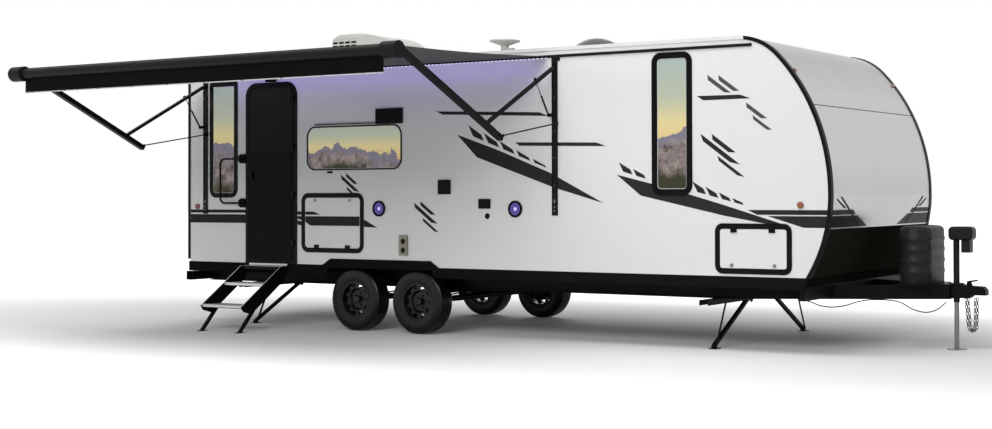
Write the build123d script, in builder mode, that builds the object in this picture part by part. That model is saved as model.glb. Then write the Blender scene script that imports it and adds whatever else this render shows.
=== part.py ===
from build123d import *
import math
import os

# Travel caravan with its side awning out, in millimetres.
# X points forward to the coupler, Y to the road side and Z up. The door side is -Y.
# The origin is the middle of the tongue jack's foot, on the ground.

os.makedirs("parts", exist_ok=True)

DOOR_SIDE = 1
ROAD_SIDE = -1
SIDES = (("right", DOOR_SIDE), ("left", ROAD_SIDE))

# Body shell
half_width = 1219.0
wall_t = 40.0
wall_bottom = 690.0
roof_top = 2840.0
rear_x = -8650.0
nose_x = -700.0
nose_z = 1420.0
nose_upper_r = 1780.0
nose_crown_r = 560.0
nose_lower_r = 1350.0
cap_bottom = 1118.0
cap_t = 30.0
moulding_w = 25.0
moulding_proud = 8.0
moulding_depth = 40.0
sheet_gap = 0.3

# Floor, skirts and wheel wells
floor_t = 80.0
skirt_t = 12.0
skirt_bottom = 585.0
fender_t = 12.0
fender_top = 757.0
well_t = 4.0
well_top = 745.0

# Wheels and running gear
axle_rear_x = -6223.0
axle_spacing = 840.0
tyre_r = 331.5
tyre_w = 196.0
rim_r = 178.0
wheel_y = half_width - 150.0
spindle_r = 22.0
spindle_clear = 0.3
axle_tube_r = 32.0
spring_w = 45.0
spring_leaf_t = 8.0
spring_leaves = 4
spring_half_span = 355.0
spring_rise = 34.0
spring_eye_r = 15.0
spring_bolt_r = 8.0
hanger_t = 6.0
hanger_drop = 24.0

# Chassis
rail_y = half_width - 359.0
rail_h = 150.0
rail_w = 76.0
rail_web = 6.0
rail_top = wall_bottom - floor_t
tongue_tip_x = -40.0
tongue_tip_y = 52.0
tongue_slope = 25.0
tongue_h = 128.0
tongue_w = 50.0
bumper_size = 100.0
bumper_half = half_width - 69.0
bumper_x = rear_x - 70.0
bumper_z = 522.0

# Door side openings: lower corner, size and corner radii
door_x0 = -7751.0
door_w = 766.0
door_top = 2657.0
door_frame_w = 48.0
door_corner_r = 150.0
door_sill = 25.0
door_gap = 5.0
door_t = 38.0
frame_proud = 9.0
frame_lap = 6.0
hinge_r = 8.0
hinge_out = frame_proud + hinge_r + 0.3

# Gas bottle cover and its tray
cover_x = -330.0
cover_y = 300.0
cover_r = 150.0
cover_top = 1130.0
tray_z = rail_top - rail_h + tongue_h
tray_t = 8.0

# Tongue jack
jack_foot_r = 92.0
jack_foot_t = 8.0
jack_inner_r = 22.0
jack_outer_r = 28.5
jack_clear = 0.3
jack_tube_low = 430.0
jack_tube_high = 1000.0
jack_leg_top = 610.0
jack_head_x = 57.0
jack_head_z = 1060.0
jack_head_len = 230.0
jack_head_h = 124.0
jack_head_half = 68.0

# Awning
awning_front_x = -3606.0
awning_rear_x = -8380.0
pivot_y = -half_width - 43.0
pivot_z = 2640.0
knee_y = pivot_y - 1038.0
knee_z = 2060.0
roller_y = knee_y - 1230.0
roller_z = 2632.0
roller_offset = 60.0
roller_r = 48.0
roller_wall = 3.0
head_r = 74.0
head_half = 80.0
rod_pivot_z = 2110.0
strut_pivot_z = 2193.0
strut_eye = 245.0
arm_half_w = 28.0
arm_half_d = 24.0
arm_t = 4.0
link_half_w = 18.0
link_half_d = 14.0
channel_half_w = 32.0
channel_depth = 12.0
channel_low = 1225.0
channel_high = 2700.0

# Entry steps
step_x0 = -7710.0
step_w = 600.0
step_hinge_y = -half_width - 19.0
step_hinge_z = 655.0
step_slope = 35.7
step_plate_t = 8.0
step_plate_depth = 150.0
step_lug_gap = 0.5
step_lug_t = 10.0
step_lug_r = 18.0
step_pin_r = 11.0
pin_clear = 0.3

# Stabilisers
stab_front_x = -2005.0
stab_rear_x = -7880.0
stab_pivot_y = 300.0
stab_pivot_z = 405.0
stab_foot_y = half_width - 269.0
stab_brace_y = stab_foot_y - 180.0


def save(piece, label):
    """Name a finished piece and write it out."""
    piece.part.label = label
    export_step(piece.part, f"parts/{label}.step")


def side_plane(side, distance):
    """Plane parallel to a side wall, facing the door side."""
    return Plane.XZ.offset(side * distance)


# Centre of the crown arc, tangent to the roof line and to the upper nose arc
crown_cz = roof_top - nose_crown_r
crown_run = math.sqrt((nose_upper_r - nose_crown_r) ** 2 - (crown_cz - nose_z) ** 2)
crown_cx = nose_x - nose_upper_r + crown_run
crown_angle = math.degrees(math.atan2(crown_cz - nose_z, crown_run))


def nose_front_x(z, inset):
    """Front edge of the lower nose arc at height z, moved in by inset."""
    return nose_x - nose_lower_r + math.sqrt((nose_lower_r - inset) ** 2 - (nose_z - z) ** 2)


def shell_face(inset, bottom):
    """Side outline of the body, moved in by inset, down to bottom."""
    drop = math.degrees(math.asin((nose_z - bottom) / (nose_lower_r - inset)))
    with BuildSketch() as face:
        with BuildLine():
            CenterArc((crown_cx, crown_cz), nose_crown_r - inset, 90, crown_angle - 90)
            CenterArc((nose_x - nose_upper_r, nose_z), nose_upper_r - inset, crown_angle, -crown_angle)
            CenterArc((nose_x - nose_lower_r, nose_z), nose_lower_r - inset, 0, -drop)
            Polyline(
                (nose_front_x(bottom, inset), bottom),
                (rear_x + inset, bottom),
                (rear_x + inset, roof_top - inset),
                (crown_cx, roof_top - inset),
            )
        make_face()
    return face.sketch


def pane(x0, z0, width, height, r_top, r_low, inset=0.0):
    """Rounded upright opening given by its lower rear corner, moved in by inset."""
    w = width - 2 * inset
    h = height - 2 * inset
    top = max(r_top - inset, 2.0)
    low = max(r_low - inset, 2.0)
    x1 = x0 + inset
    z1 = z0 + inset
    with BuildSketch() as face:
        with BuildLine():
            Line((x1 + low, z1), (x1 + w - low, z1))
            CenterArc((x1 + w - low, z1 + low), low, -90, 90)
            Line((x1 + w, z1 + low), (x1 + w, z1 + h - top))
            CenterArc((x1 + w - top, z1 + h - top), top, 0, 90)
            Line((x1 + w - top, z1 + h), (x1 + top, z1 + h))
            CenterArc((x1 + top, z1 + h - top), top, 90, 90)
            Line((x1, z1 + h - top), (x1, z1 + low))
            CenterArc((x1 + low, z1 + low), low, 180, 90)
        make_face()
    return face.sketch


# Windows: name, lower rear corner x and z, width, height, top radius, low radius, frame width
windows = (
    ("rear_tall", -8312.0, 1405.0, 430.0, 1285.0, 30.0, 95.0, 50.0),
    ("wide", -6840.0, 1692.0, 1318.0, 468.0, 115.0, 115.0, 14.0),
    ("front_tall", -2512.0, 1417.0, 430.0, 1318.0, 95.0, 95.0, 58.0),
)

# Luggage doors: name, side, lower rear corner x and z, width, height, radius, hinge at the top
lockers = (
    ("rear_luggage_door", DOOR_SIDE, -6916.0, 819.0, 876.0, 632.0, 90.0, False),
    ("front_luggage_door", DOOR_SIDE, -1846.0, 712.0, 768.0, 452.0, 75.0, True),
    ("road_luggage_door", ROAD_SIDE, -1846.0, 712.0, 768.0, 452.0, 75.0, True),
)
locker_frame_w = 46.0
locker_t = 30.0

door_h = door_top - wall_bottom

# Side walls
for name, side in SIDES:
    with BuildPart() as wall:
        with BuildSketch(side_plane(side, half_width - wall_t)):
            add(shell_face(moulding_w, wall_bottom))
        extrude(amount=side * wall_t)
        with BuildSketch(side_plane(side, half_width - wall_t)):
            for _, x0, z0, w, h, r_top, r_low, _ in windows:
                add(pane(x0, z0, w, h, r_top, r_low, frame_lap))
            for _, locker_side, x0, z0, w, h, r, _ in lockers:
                if locker_side == side:
                    add(pane(x0, z0, w, h, r, r, frame_lap))
        extrude(amount=side * wall_t, mode=Mode.SUBTRACT)
        if side == DOOR_SIDE:
            with BuildSketch(side_plane(side, half_width - wall_t)):
                add(pane(door_x0, wall_bottom - 60, door_w, door_h + 60, door_corner_r, 5.0, frame_lap))
            extrude(amount=side * wall_t, mode=Mode.SUBTRACT)
    save(wall, f"{name}_wall")

# Window frames and panes on both sides
with BuildPart() as frames:
    for _, side in SIDES:
        for _, x0, z0, w, h, r_top, r_low, frame_w in windows:
            with BuildSketch(side_plane(side, half_width)):
                add(pane(x0, z0, w, h, r_top, r_low))
                add(pane(x0, z0, w, h, r_top, r_low, frame_w), mode=Mode.SUBTRACT)
            extrude(amount=side * frame_proud)
            with BuildSketch(side_plane(side, half_width - wall_t)):
                add(pane(x0, z0, w, h, r_top, r_low, frame_lap + sheet_gap))
                add(pane(x0, z0, w, h, r_top, r_low, frame_w), mode=Mode.SUBTRACT)
            extrude(amount=side * wall_t)
save(frames, "window_frames")

with BuildPart() as glass:
    for _, side in SIDES:
        for _, x0, z0, w, h, r_top, r_low, frame_w in windows:
            with BuildSketch(side_plane(side, half_width - 4)):
                add(pane(x0, z0, w, h, r_top, r_low, frame_w + sheet_gap))
            extrude(amount=side * 6)
save(glass, "window_glass")

# Front cap, black lower front, rear wall and roof
with BuildPart() as front_cap:
    with BuildSketch(side_plane(DOOR_SIDE, -(half_width - wall_t))):
        add(shell_face(0, wall_bottom))
        add(shell_face(cap_t, wall_bottom), mode=Mode.SUBTRACT)
        with Locations((crown_cx + 1000, cap_bottom + 1000)):
            Rectangle(2000, 2000, mode=Mode.INTERSECT)
    extrude(amount=2 * (half_width - wall_t))
save(front_cap, "front_cap")

with BuildPart() as front_lower:
    with BuildSketch(side_plane(DOOR_SIDE, -(half_width - wall_t))):
        add(shell_face(8, wall_bottom))
        add(shell_face(cap_t, wall_bottom), mode=Mode.SUBTRACT)
        with Locations((nose_x, (cap_bottom + wall_bottom) / 2)):
            Rectangle(1200, cap_bottom - wall_bottom, mode=Mode.INTERSECT)
    extrude(amount=2 * (half_width - wall_t))
save(front_lower, "front_lower_panel")

with BuildPart() as rear_wall:
    with BuildSketch(Plane.YZ.offset(rear_x)):
        with Locations((0, (wall_bottom + roof_top - cap_t) / 2)):
            Rectangle(2 * (half_width - wall_t), roof_top - cap_t - wall_bottom)
    extrude(amount=wall_t)
save(rear_wall, "rear_wall")

with BuildPart() as roof:
    with BuildSketch(Plane.XY.offset(roof_top - cap_t)):
        with Locations(((rear_x + crown_cx) / 2, 0)):
            Rectangle(crown_cx - rear_x, 2 * (half_width - wall_t))
    extrude(amount=cap_t)
save(roof, "roof")

# Black mouldings along both edges of the shell
with BuildPart() as mouldings:
    for _, side in SIDES:
        with BuildSketch(side_plane(side, half_width - moulding_depth)):
            add(shell_face(-moulding_proud, wall_bottom))
            add(shell_face(moulding_w, wall_bottom), mode=Mode.SUBTRACT)
            with Locations((rear_x, wall_bottom)):
                Rectangle(60, 2 * moulding_w, mode=Mode.SUBTRACT)
        extrude(amount=side * (moulding_depth + moulding_proud))
save(mouldings, "corner_mouldings")

# Floor of three boards, with a box of thin boards over the tyres of each side
well_rear = axle_rear_x - tyre_r - 65
well_front = axle_rear_x + axle_spacing + tyre_r + 65
well_inner = wheel_y - tyre_w / 2 - 40
well_outer = half_width - wall_t
floor_half = half_width - skirt_t
floor_front = nose_front_x(wall_bottom, cap_t)
# Floor boards: rear end, front end and half width
floor_boards = (
    (rear_x, well_rear, floor_half),
    (well_rear + sheet_gap, well_front - sheet_gap, well_inner),
    (well_front, floor_front, floor_half),
)
side_rear = well_rear + sheet_gap
side_front = well_front - sheet_gap
side_inner = well_inner + sheet_gap
end_inner = side_inner + well_t + sheet_gap
side_top = well_top - well_t - sheet_gap
# Boards of a wheel box: rear and front end, inner and outer edge, bottom and top
well_boards = (
    (side_rear, side_front, side_inner, side_inner + well_t, rail_top, side_top),
    (side_rear, side_rear + well_t, end_inner, well_outer, rail_top, side_top),
    (side_front - well_t, side_front, end_inner, well_outer, rail_top, side_top),
    (side_rear, side_front, side_inner, well_outer, well_top - well_t, well_top),
)
with BuildPart() as floor:
    with BuildSketch(Plane.XY.offset(rail_top)):
        for board_rear, board_front, board_half in floor_boards:
            with Locations(((board_rear + board_front) / 2, 0)):
                Rectangle(board_front - board_rear, 2 * board_half)
    extrude(amount=floor_t)
    for _, side in SIDES:
        for board_rear, board_front, inner, outer, bottom, top in well_boards:
            with BuildSketch(Plane.XY.offset(bottom)):
                with Locations(((board_rear + board_front) / 2, -side * (inner + outer) / 2)):
                    Rectangle(board_front - board_rear, outer - inner)
            extrude(amount=top - bottom)
save(floor, "floor")

# Black skirts with raised fenders over the wheels
fender_rear = -6611.0
fender_front = -5039.0
fender_chamfer = 108.0
arch_top = 662.0
with BuildPart() as skirts:
    for _, side in SIDES:
        with BuildSketch(side_plane(side, half_width - skirt_t)):
            with BuildLine():
                Polyline(
                    (rear_x, wall_bottom),
                    (rear_x, skirt_bottom),
                    (fender_rear + 40, skirt_bottom),
                    (fender_rear + 90, arch_top),
                    (fender_front - 90, arch_top),
                    (fender_front - 40, skirt_bottom),
                    (nose_front_x(skirt_bottom, 0), skirt_bottom),
                    (nose_front_x(wall_bottom, 0), wall_bottom),
                    close=True,
                )
            make_face()
        extrude(amount=side * skirt_t)
        with BuildSketch(side_plane(side, half_width)):
            with BuildLine():
                Polyline(
                    (fender_rear + 40, skirt_bottom),
                    (fender_rear, wall_bottom),
                    (fender_rear + fender_chamfer, fender_top),
                    (fender_front - fender_chamfer, fender_top),
                    (fender_front, wall_bottom),
                    (fender_front - 40, skirt_bottom),
                    (fender_front - 90, arch_top),
                    (fender_rear + 90, arch_top),
                    close=True,
                )
            make_face()
        extrude(amount=side * fender_t)
    # Lugs that carry the entry steps
    for x in (step_x0 - step_lug_gap - step_lug_t, step_x0 + step_w + step_lug_gap):
        with BuildSketch(Plane.YZ.offset(x)):
            with Locations((step_hinge_y, step_hinge_z)):
                Circle(step_lug_r)
            with Locations(((step_hinge_y - half_width) / 2, step_hinge_z)):
                Rectangle(-half_width - step_hinge_y, 2 * step_lug_r)
            with Locations((step_hinge_y, step_hinge_z)):
                Circle(step_pin_r + pin_clear, mode=Mode.SUBTRACT)
        extrude(amount=step_lug_t)
save(skirts, "skirts")

# Chassis rails, crossmembers and the drawbar frame
tongue_run = (rail_y - tongue_tip_y) / math.tan(math.radians(tongue_slope))
rail_front = tongue_tip_x - tongue_run
crossmembers = (rear_x + 150, -7250.0, -4700.0, -3900.0, -3100.0, -1100.0)
axle_front_x = axle_rear_x + axle_spacing
spring_eye_z = tyre_r + axle_tube_r + spring_leaf_t * (spring_leaves - 0.5) + spring_rise
eye_xs = [x + end * spring_half_span for x in (axle_rear_x, axle_front_x) for end in (-1, 1)]
# Hangers: centre x and width; the middle one holds an eye of each spring
hangers = (
    (eye_xs[0], 60.0),
    ((eye_xs[1] + eye_xs[2]) / 2, eye_xs[2] - eye_xs[1] + 60.0),
    (eye_xs[3], 60.0),
)
with BuildPart() as chassis:
    for _, side in SIDES:
        with BuildSketch(Plane.YZ.offset(bumper_x + bumper_size / 2)):
            with Locations((-side * rail_y, rail_top - rail_h / 2)):
                Rectangle(rail_web, rail_h)
            for z in (rail_top - 5, rail_top - rail_h + 5):
                with Locations((-side * rail_y, z)):
                    Rectangle(rail_w, 10)
        extrude(amount=rail_front - bumper_x - bumper_size / 2)
        with BuildSketch(Plane.XY.offset(rail_top - rail_h)):
            with BuildLine():
                Polyline(
                    (rail_front - 120, -side * (rail_y - tongue_w / 2)),
                    (rail_front, -side * (rail_y - tongue_w / 2)),
                    (tongue_tip_x, -side * (tongue_tip_y - tongue_w / 2)),
                    (tongue_tip_x, -side * (tongue_tip_y + tongue_w / 2)),
                    (rail_front, -side * (rail_y + tongue_w / 2)),
                    (rail_front - 120, -side * (rail_y + tongue_w / 2)),
                    close=True,
                )
            make_face()
        extrude(amount=tongue_h)
    with BuildSketch(Plane.XY.offset(rail_top - 90)):
        for x in crossmembers:
            with Locations((x, 0)):
                Rectangle(50, 2 * (rail_y - 10))
    extrude(amount=80)
    with BuildSketch(Plane.XY.offset(rail_top - rail_h + 20)):
        with Locations((-1020, 0)):
            Rectangle(50, 2 * half_width - 160)
    extrude(amount=rail_h - 20)
    with BuildSketch(Plane.XY.offset(rail_top - rail_h + tongue_h)):
        with BuildLine():
            Polyline((-230, -150), (-230, 150), (75, 40), (75, -40), close=True)
        make_face()
        with Locations((cover_x, 0)):
            Rectangle(2 * cover_r + 40, 2 * cover_y + 30)
        Circle(jack_outer_r + 4, mode=Mode.SUBTRACT)
    extrude(amount=tray_t)
    with BuildSketch(Plane.XZ.offset(-bumper_half)):
        with Locations((bumper_x, bumper_z)):
            RectangleRounded(bumper_size, bumper_size, 10)
            RectangleRounded(bumper_size - 10, bumper_size - 10, 5, mode=Mode.SUBTRACT)
    extrude(amount=2 * bumper_half)
    with BuildSketch(Plane.XY.offset(rail_top - rail_h - 1)):
        Circle(jack_outer_r + 4)
    extrude(amount=tongue_h + 1, mode=Mode.SUBTRACT)
    # Hangers that hold the eyes of the leaf springs
    for _, side in SIDES:
        for cheek in (-1, 1):
            cheek_y = side * rail_y + cheek * (spring_w / 2 + sheet_gap + hanger_t / 2)
            with BuildSketch(Plane.XZ.offset(cheek_y - hanger_t / 2)):
                for x, width in hangers:
                    with Locations((x, (rail_top - rail_h + spring_eye_z - hanger_drop) / 2)):
                        Rectangle(width, rail_top - rail_h - spring_eye_z + hanger_drop)
            extrude(amount=hanger_t)
        with BuildSketch(Plane.XZ.offset(side * rail_y - spring_w / 2 - hanger_t)):
            for x in eye_xs:
                with Locations((x, spring_eye_z)):
                    Circle(spring_bolt_r)
        extrude(amount=spring_w + 2 * hanger_t)
save(chassis, "chassis")

# Coupler with its ball socket
coupler_z = 500.0
ball_x = 232.0
ball_r = 29.6
socket_depth = 26.0
latch_half = 9.0
with BuildPart() as coupler:
    with BuildSketch(Plane.XZ.offset(-45)):
        with BuildLine():
            Polyline(
                (tongue_tip_x, coupler_z - 30),
                (130, coupler_z - 30),
                (170, coupler_z),
                (290, coupler_z),
                (290, coupler_z + 45),
                (262, coupler_z + 78),
                (180, coupler_z + 82),
                (90, tray_z),
                (tongue_tip_x, tray_z),
                close=True,
            )
        make_face()
    extrude(amount=90)
    with BuildSketch(Plane.XZ.offset(-latch_half)):
        with BuildLine():
            Polyline(
                (92, tray_z - 10),
                (104, tray_z + 38),
                (196, tray_z + 52),
                (204, tray_z + 40),
                (140, tray_z + 26),
                (160, tray_z - 30),
                close=True,
            )
        make_face()
    extrude(amount=2 * latch_half)
    with Locations((0, 0, coupler_z)):
        Cylinder(jack_outer_r + 4, 400, mode=Mode.SUBTRACT)
    with BuildSketch(Plane.XY.offset(coupler_z)):
        with Locations((ball_x, 0)):
            Circle(ball_r)
    extrude(amount=socket_depth, mode=Mode.SUBTRACT)
    with Locations((ball_x, 0, coupler_z + socket_depth)):
        Sphere(ball_r, mode=Mode.SUBTRACT)
save(coupler, "coupler")

# Cables clipped under the drawbar and the safety chains, each in straight runs and tangent arcs
tan_tongue = math.tan(math.radians(tongue_slope))


def drawbar_y(x):
    """Y of the middle of the door side drawbar beam at x."""
    return -tongue_tip_y - (tongue_tip_x - x) * tan_tongue


def corner_radii(points):
    """Radius for each corner of a cord's route: 0.45 of its shorter run over the tangent of half its turn."""
    radii = []
    for before, corner, after in zip(points, points[1:], points[2:]):
        run_in = Vector(*corner) - Vector(*before)
        run_out = Vector(*after) - Vector(*corner)
        half_turn = math.radians(run_in.get_angle(run_out)) / 2
        radii.append(0.45 * min(run_in.length, run_out.length) / math.tan(half_turn))
    return radii


def cord_tube(points, section_r):
    """Round cord along a route, each corner with the largest arc that its runs allow."""
    radii = corner_radii(points)
    with BuildPart() as tube:
        with BuildLine() as route:
            FilletPolyline(*points, radius=radii)
        with BuildSketch(Plane(origin=route.wire() @ 0, z_dir=route.wire() % 0)):
            Circle(section_r)
        sweep()
    length = route.wire().length
    share = tube.part.volume / (math.pi * section_r**2 * length)
    print("cord", round(length, 1), "mm, radii", [round(r) for r in radii], "volume share", round(share, 3))
    return tube.part


cable_r = 5.0
cable_top = rail_top - rail_h - cable_r - sheet_gap
# Route of the brake and lighting cable: x and height below the beam's underside
cable_route = (
    (-1290.0, 0.0),
    (-1200.0, 18.0),
    (-1120.0, 58.0),
    (-1020.0, 72.0),
    (-910.0, 58.0),
    (-800.0, 16.0),
    (-700.0, 0.0),
    (-560.0, 2.0),
    (-450.0, 20.0),
    (-360.0, 88.0),
    (-245.0, 122.0),
    (-150.0, 96.0),
    (-75.0, 22.0),
)
# Route of each safety chain: x and z
chain_route = (
    (92.0, coupler_z - 30.8),
    (98.0, 395.0),
    (107.0, 300.0),
    (110.0, 232.0),
    (126.0, 184.0),
    (152.0, 170.0),
    (172.0, 196.0),
    (176.0, 262.0),
    (180.0, 345.0),
    (179.0, 425.0),
    (181.0, coupler_z - 0.8),
)
chain_r = 6.5
chain_y = 34.0
with BuildPart() as cables:
    add(cord_tube([(x, drawbar_y(x), cable_top - drop) for x, drop in cable_route], cable_r))
save(cables, "tongue_cable")

with BuildPart() as chains:
    for _, side in SIDES:
        add(cord_tube([(x, -side * chain_y, z) for x, z in chain_route], chain_r))
save(chains, "safety_chains")

# Tongue jack: fixed tube with the powered head, and the leg that slides in it
with BuildPart() as jack_body:
    with BuildSketch(Plane.XY.offset(jack_tube_low)):
        Circle(jack_outer_r)
    extrude(amount=jack_tube_high - jack_tube_low)
    with BuildSketch(Plane.XY.offset(rail_top - rail_h + tongue_h + 8)):
        Circle(70)
    extrude(amount=10)
    with BuildSketch(Plane.XZ.offset(-jack_head_half)):
        with Locations((jack_head_x, jack_head_z)):
            RectangleRounded(jack_head_len, jack_head_h, 40)
    extrude(amount=2 * jack_head_half)
    chamfer(jack_body.faces().sort_by(Axis.Y)[0].edges(), 16)
    chamfer(jack_body.faces().sort_by(Axis.Y)[-1].edges(), 16)
    with BuildSketch(Plane.XZ.offset(-45)):
        with Locations((102, 945)):
            Rectangle(82, 120)
    extrude(amount=90)
    with BuildSketch(Plane.XY.offset(jack_tube_low)):
        Circle(jack_inner_r + jack_clear)
    extrude(amount=jack_tube_high - jack_tube_low - 10, mode=Mode.SUBTRACT)
save(jack_body, "tongue_jack_body")

with BuildPart() as jack_leg:
    with BuildSketch(Plane.XY):
        Circle(jack_foot_r)
    extrude(amount=jack_foot_t)
    with BuildSketch(Plane.XY.offset(jack_foot_t)):
        Circle(jack_inner_r)
    extrude(amount=jack_leg_top - jack_foot_t)
save(jack_leg, "tongue_jack_leg")

# Gas bottle cover on its tray: two lobes round the bottles, with ribs and a rounded top


def cover_outline(grow):
    """Plan of the cover: a round lobe for each bottle and a narrower waist between them."""
    with BuildSketch() as face:
        with Locations((cover_x, lobe_y), (cover_x, -lobe_y)):
            Circle(cover_r + grow)
        with Locations((cover_x, 0)):
            Rectangle(2 * (waist_r + grow), 2 * lobe_y)
    return face.sketch


lobe_y = cover_y - cover_r
waist_r = cover_r - 12.0
rib_zs = (690.0, 790.0, 890.0, 990.0)
rib_h = 40.0
rib_proud = 5.0
cover_round = 55.0
with BuildPart() as cover:
    with BuildSketch(Plane.XY.offset(tray_z + tray_t)):
        add(cover_outline(0))
    extrude(amount=cover_top - tray_z - tray_t)
    chamfer(cover.faces().sort_by(Axis.Z)[-1].edges(), cover_round, cover_round * 0.8)
    for z in rib_zs:
        with BuildSketch(Plane.XY.offset(z)):
            add(cover_outline(rib_proud))
        extrude(amount=rib_h)
save(cover, "gas_bottle_cover")

# Running gear
axles = (("rear", axle_rear_x), ("front", axle_front_x))
brake_y = wheel_y - 100.0
with BuildPart() as axle_beams:
    for _, x in axles:
        with BuildSketch(Plane.XZ.offset(-brake_y)):
            with Locations((x, tyre_r)):
                Circle(axle_tube_r)
        extrude(amount=2 * brake_y)
        for _, side in SIDES:
            with BuildSketch(side_plane(side, brake_y)):
                with Locations((x, tyre_r)):
                    Circle(spindle_r)
            extrude(amount=side * 95)
            with BuildSketch(side_plane(side, brake_y - 8)):
                with Locations((x, tyre_r)):
                    Circle(128)
            extrude(amount=side * 5)
save(axle_beams, "axles")

# Leaf springs seated on the axles, longest leaf on top
spring_arc_r = (spring_half_span**2 + spring_rise**2) / (2 * spring_rise)
with BuildPart() as springs:
    for _, side in SIDES:
        for _, x in axles:
            with BuildSketch(Plane.XZ.offset(side * rail_y - spring_w / 2)):
                for leaf_number in range(spring_leaves):
                    low_z = tyre_r + axle_tube_r + spring_leaf_t * (spring_leaves - 1 - leaf_number)
                    arc_r = spring_arc_r + spring_leaf_t * leaf_number
                    half_span = spring_half_span * (1 - leaf_number / (spring_leaves + 0.5))
                    with BuildSketch(mode=Mode.PRIVATE) as one_leaf:
                        with Locations((x, low_z + arc_r)):
                            Circle(arc_r)
                            Circle(arc_r - spring_leaf_t, mode=Mode.SUBTRACT)
                        with Locations((x, low_z + 60)):
                            Rectangle(2 * half_span, 120, mode=Mode.INTERSECT)
                    add(one_leaf.sketch)
                with Locations((x - spring_half_span, spring_eye_z), (x + spring_half_span, spring_eye_z)):
                    Circle(spring_eye_r)
                    Circle(spring_bolt_r + pin_clear, mode=Mode.SUBTRACT)
            extrude(amount=spring_w)
save(springs, "leaf_springs")

# Wheels: tyre and rim, each turned about the axle's line
wheel_table = (
    # name, side, x of the axle
    ("right_rear", DOOR_SIDE, axle_rear_x),
    ("right_front", DOOR_SIDE, axle_front_x),
    ("left_rear", ROAD_SIDE, axle_rear_x),
    ("left_front", ROAD_SIDE, axle_front_x),
)
tread_half = 82.0
shoulder_r = tyre_r - 40.0
bead_half = 74.0
bead_r = rim_r + sheet_gap
flange_in = 82.0
flange_t = 4.0
flange_h = 10.0
rim_t = 5.0
disc_t = 8.0
disc_rim = 52.0
disc_hub = 22.0
spoke_in = 116.0
hub_flat_r = 96.0
cap_r = 38.0
cap_h = 36.0
slot_count = 10
lug_circle_r = 62.0
nut_h = 16.0
drum_r = 127.0
drum_in = -60.0
drum_out = -84.0
for name, side, x in wheel_table:
    wheel_plane = Plane(origin=(x, -side * wheel_y, tyre_r), x_dir=(0, -side, 0), z_dir=(-side, 0, 0))
    spin = Axis((x, -side * wheel_y, tyre_r), (0, 1, 0))
    with BuildPart() as tyre:
        with BuildSketch(wheel_plane):
            with BuildLine():
                Polyline(
                    (-tread_half, tyre_r),
                    (tread_half, tyre_r),
                    (tyre_w / 2, shoulder_r),
                    (bead_half, bead_r),
                    (-bead_half, bead_r),
                    (-tyre_w / 2, shoulder_r),
                    close=True,
                )
            make_face()
        revolve(axis=spin)
    save(tyre, f"{name}_tyre")
    with BuildPart() as rim:
        with BuildSketch(wheel_plane):
            with BuildLine():
                Polyline(
                    (-flange_in - flange_t, rim_r - rim_t),
                    (-flange_in - flange_t, rim_r + flange_h),
                    (-flange_in, rim_r + flange_h),
                    (-flange_in, rim_r),
                    (flange_in, rim_r),
                    (flange_in, rim_r + flange_h),
                    (flange_in + flange_t, rim_r + flange_h),
                    (flange_in + flange_t, rim_r - rim_t),
                    (disc_rim, rim_r - rim_t),
                    (disc_rim, spoke_in),
                    (disc_hub, hub_flat_r),
                    (disc_hub, cap_r),
                    (disc_hub + cap_h, cap_r - 6),
                    (disc_hub + cap_h, 0),
                    (disc_hub + cap_h - 6, 0),
                    (disc_hub - disc_t, cap_r - 8),
                    (drum_in, cap_r - 8),
                    (drum_in, spindle_r + spindle_clear),
                    (drum_out, spindle_r + spindle_clear),
                    (drum_out, drum_r),
                    (drum_in + 36, drum_r),
                    (drum_in + 36, cap_r + 16),
                    (disc_hub - disc_t, cap_r + 16),
                    (disc_hub - disc_t, hub_flat_r),
                    (disc_rim - disc_t, spoke_in),
                    (disc_rim - disc_t, rim_r - rim_t),
                    close=True,
                )
            make_face()
        revolve(axis=spin)
        with BuildSketch(Plane(origin=(x, -side * (wheel_y + disc_rim), tyre_r), x_dir=(1, 0, 0), z_dir=(0, -side, 0))):
            with PolarLocations((spoke_in + rim_r) / 2, slot_count):
                Rectangle(34, 48)
        extrude(amount=-disc_t, mode=Mode.SUBTRACT)
        with BuildSketch(Plane(origin=(x, -side * (wheel_y + disc_hub), tyre_r), x_dir=(1, 0, 0), z_dir=(0, -side, 0))):
            with PolarLocations(lug_circle_r, 5):
                RegularPolygon(11, 6)
        extrude(amount=nut_h)
    save(rim, f"{name}_rim")

# Entry door: frame on the wall, leaf, its dark glass and its lock
leaf_inset = door_frame_w + door_gap
leaf_x0 = door_x0 + leaf_inset
leaf_z0 = wall_bottom + door_sill + door_gap
leaf_w = door_w - 2 * leaf_inset
leaf_h = door_top - leaf_inset - leaf_z0
leaf_r = door_corner_r - leaf_inset
leaf_out = half_width + 6
hole_h = door_h - door_frame_w - door_sill
with BuildPart() as door_frame:
    with BuildSketch(side_plane(DOOR_SIDE, half_width)):
        add(pane(door_x0, wall_bottom, door_w, door_h, door_corner_r, 5.0))
        add(
            pane(
                door_x0 + door_frame_w,
                wall_bottom + door_sill,
                door_w - 2 * door_frame_w,
                hole_h,
                door_corner_r - door_frame_w,
                5.0,
            ),
            mode=Mode.SUBTRACT,
        )
    extrude(amount=frame_proud)
    with BuildSketch(side_plane(DOOR_SIDE, half_width - wall_t)):
        lap = frame_lap + sheet_gap
        add(pane(door_x0 + lap, wall_bottom, door_w - 2 * lap, door_h - lap, door_corner_r - lap, 5.0))
        add(
            pane(
                door_x0 + door_frame_w,
                wall_bottom + door_sill,
                door_w - 2 * door_frame_w,
                hole_h,
                door_corner_r - door_frame_w,
                5.0,
            ),
            mode=Mode.SUBTRACT,
        )
    extrude(amount=wall_t)
save(door_frame, "entry_door_frame")

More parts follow.
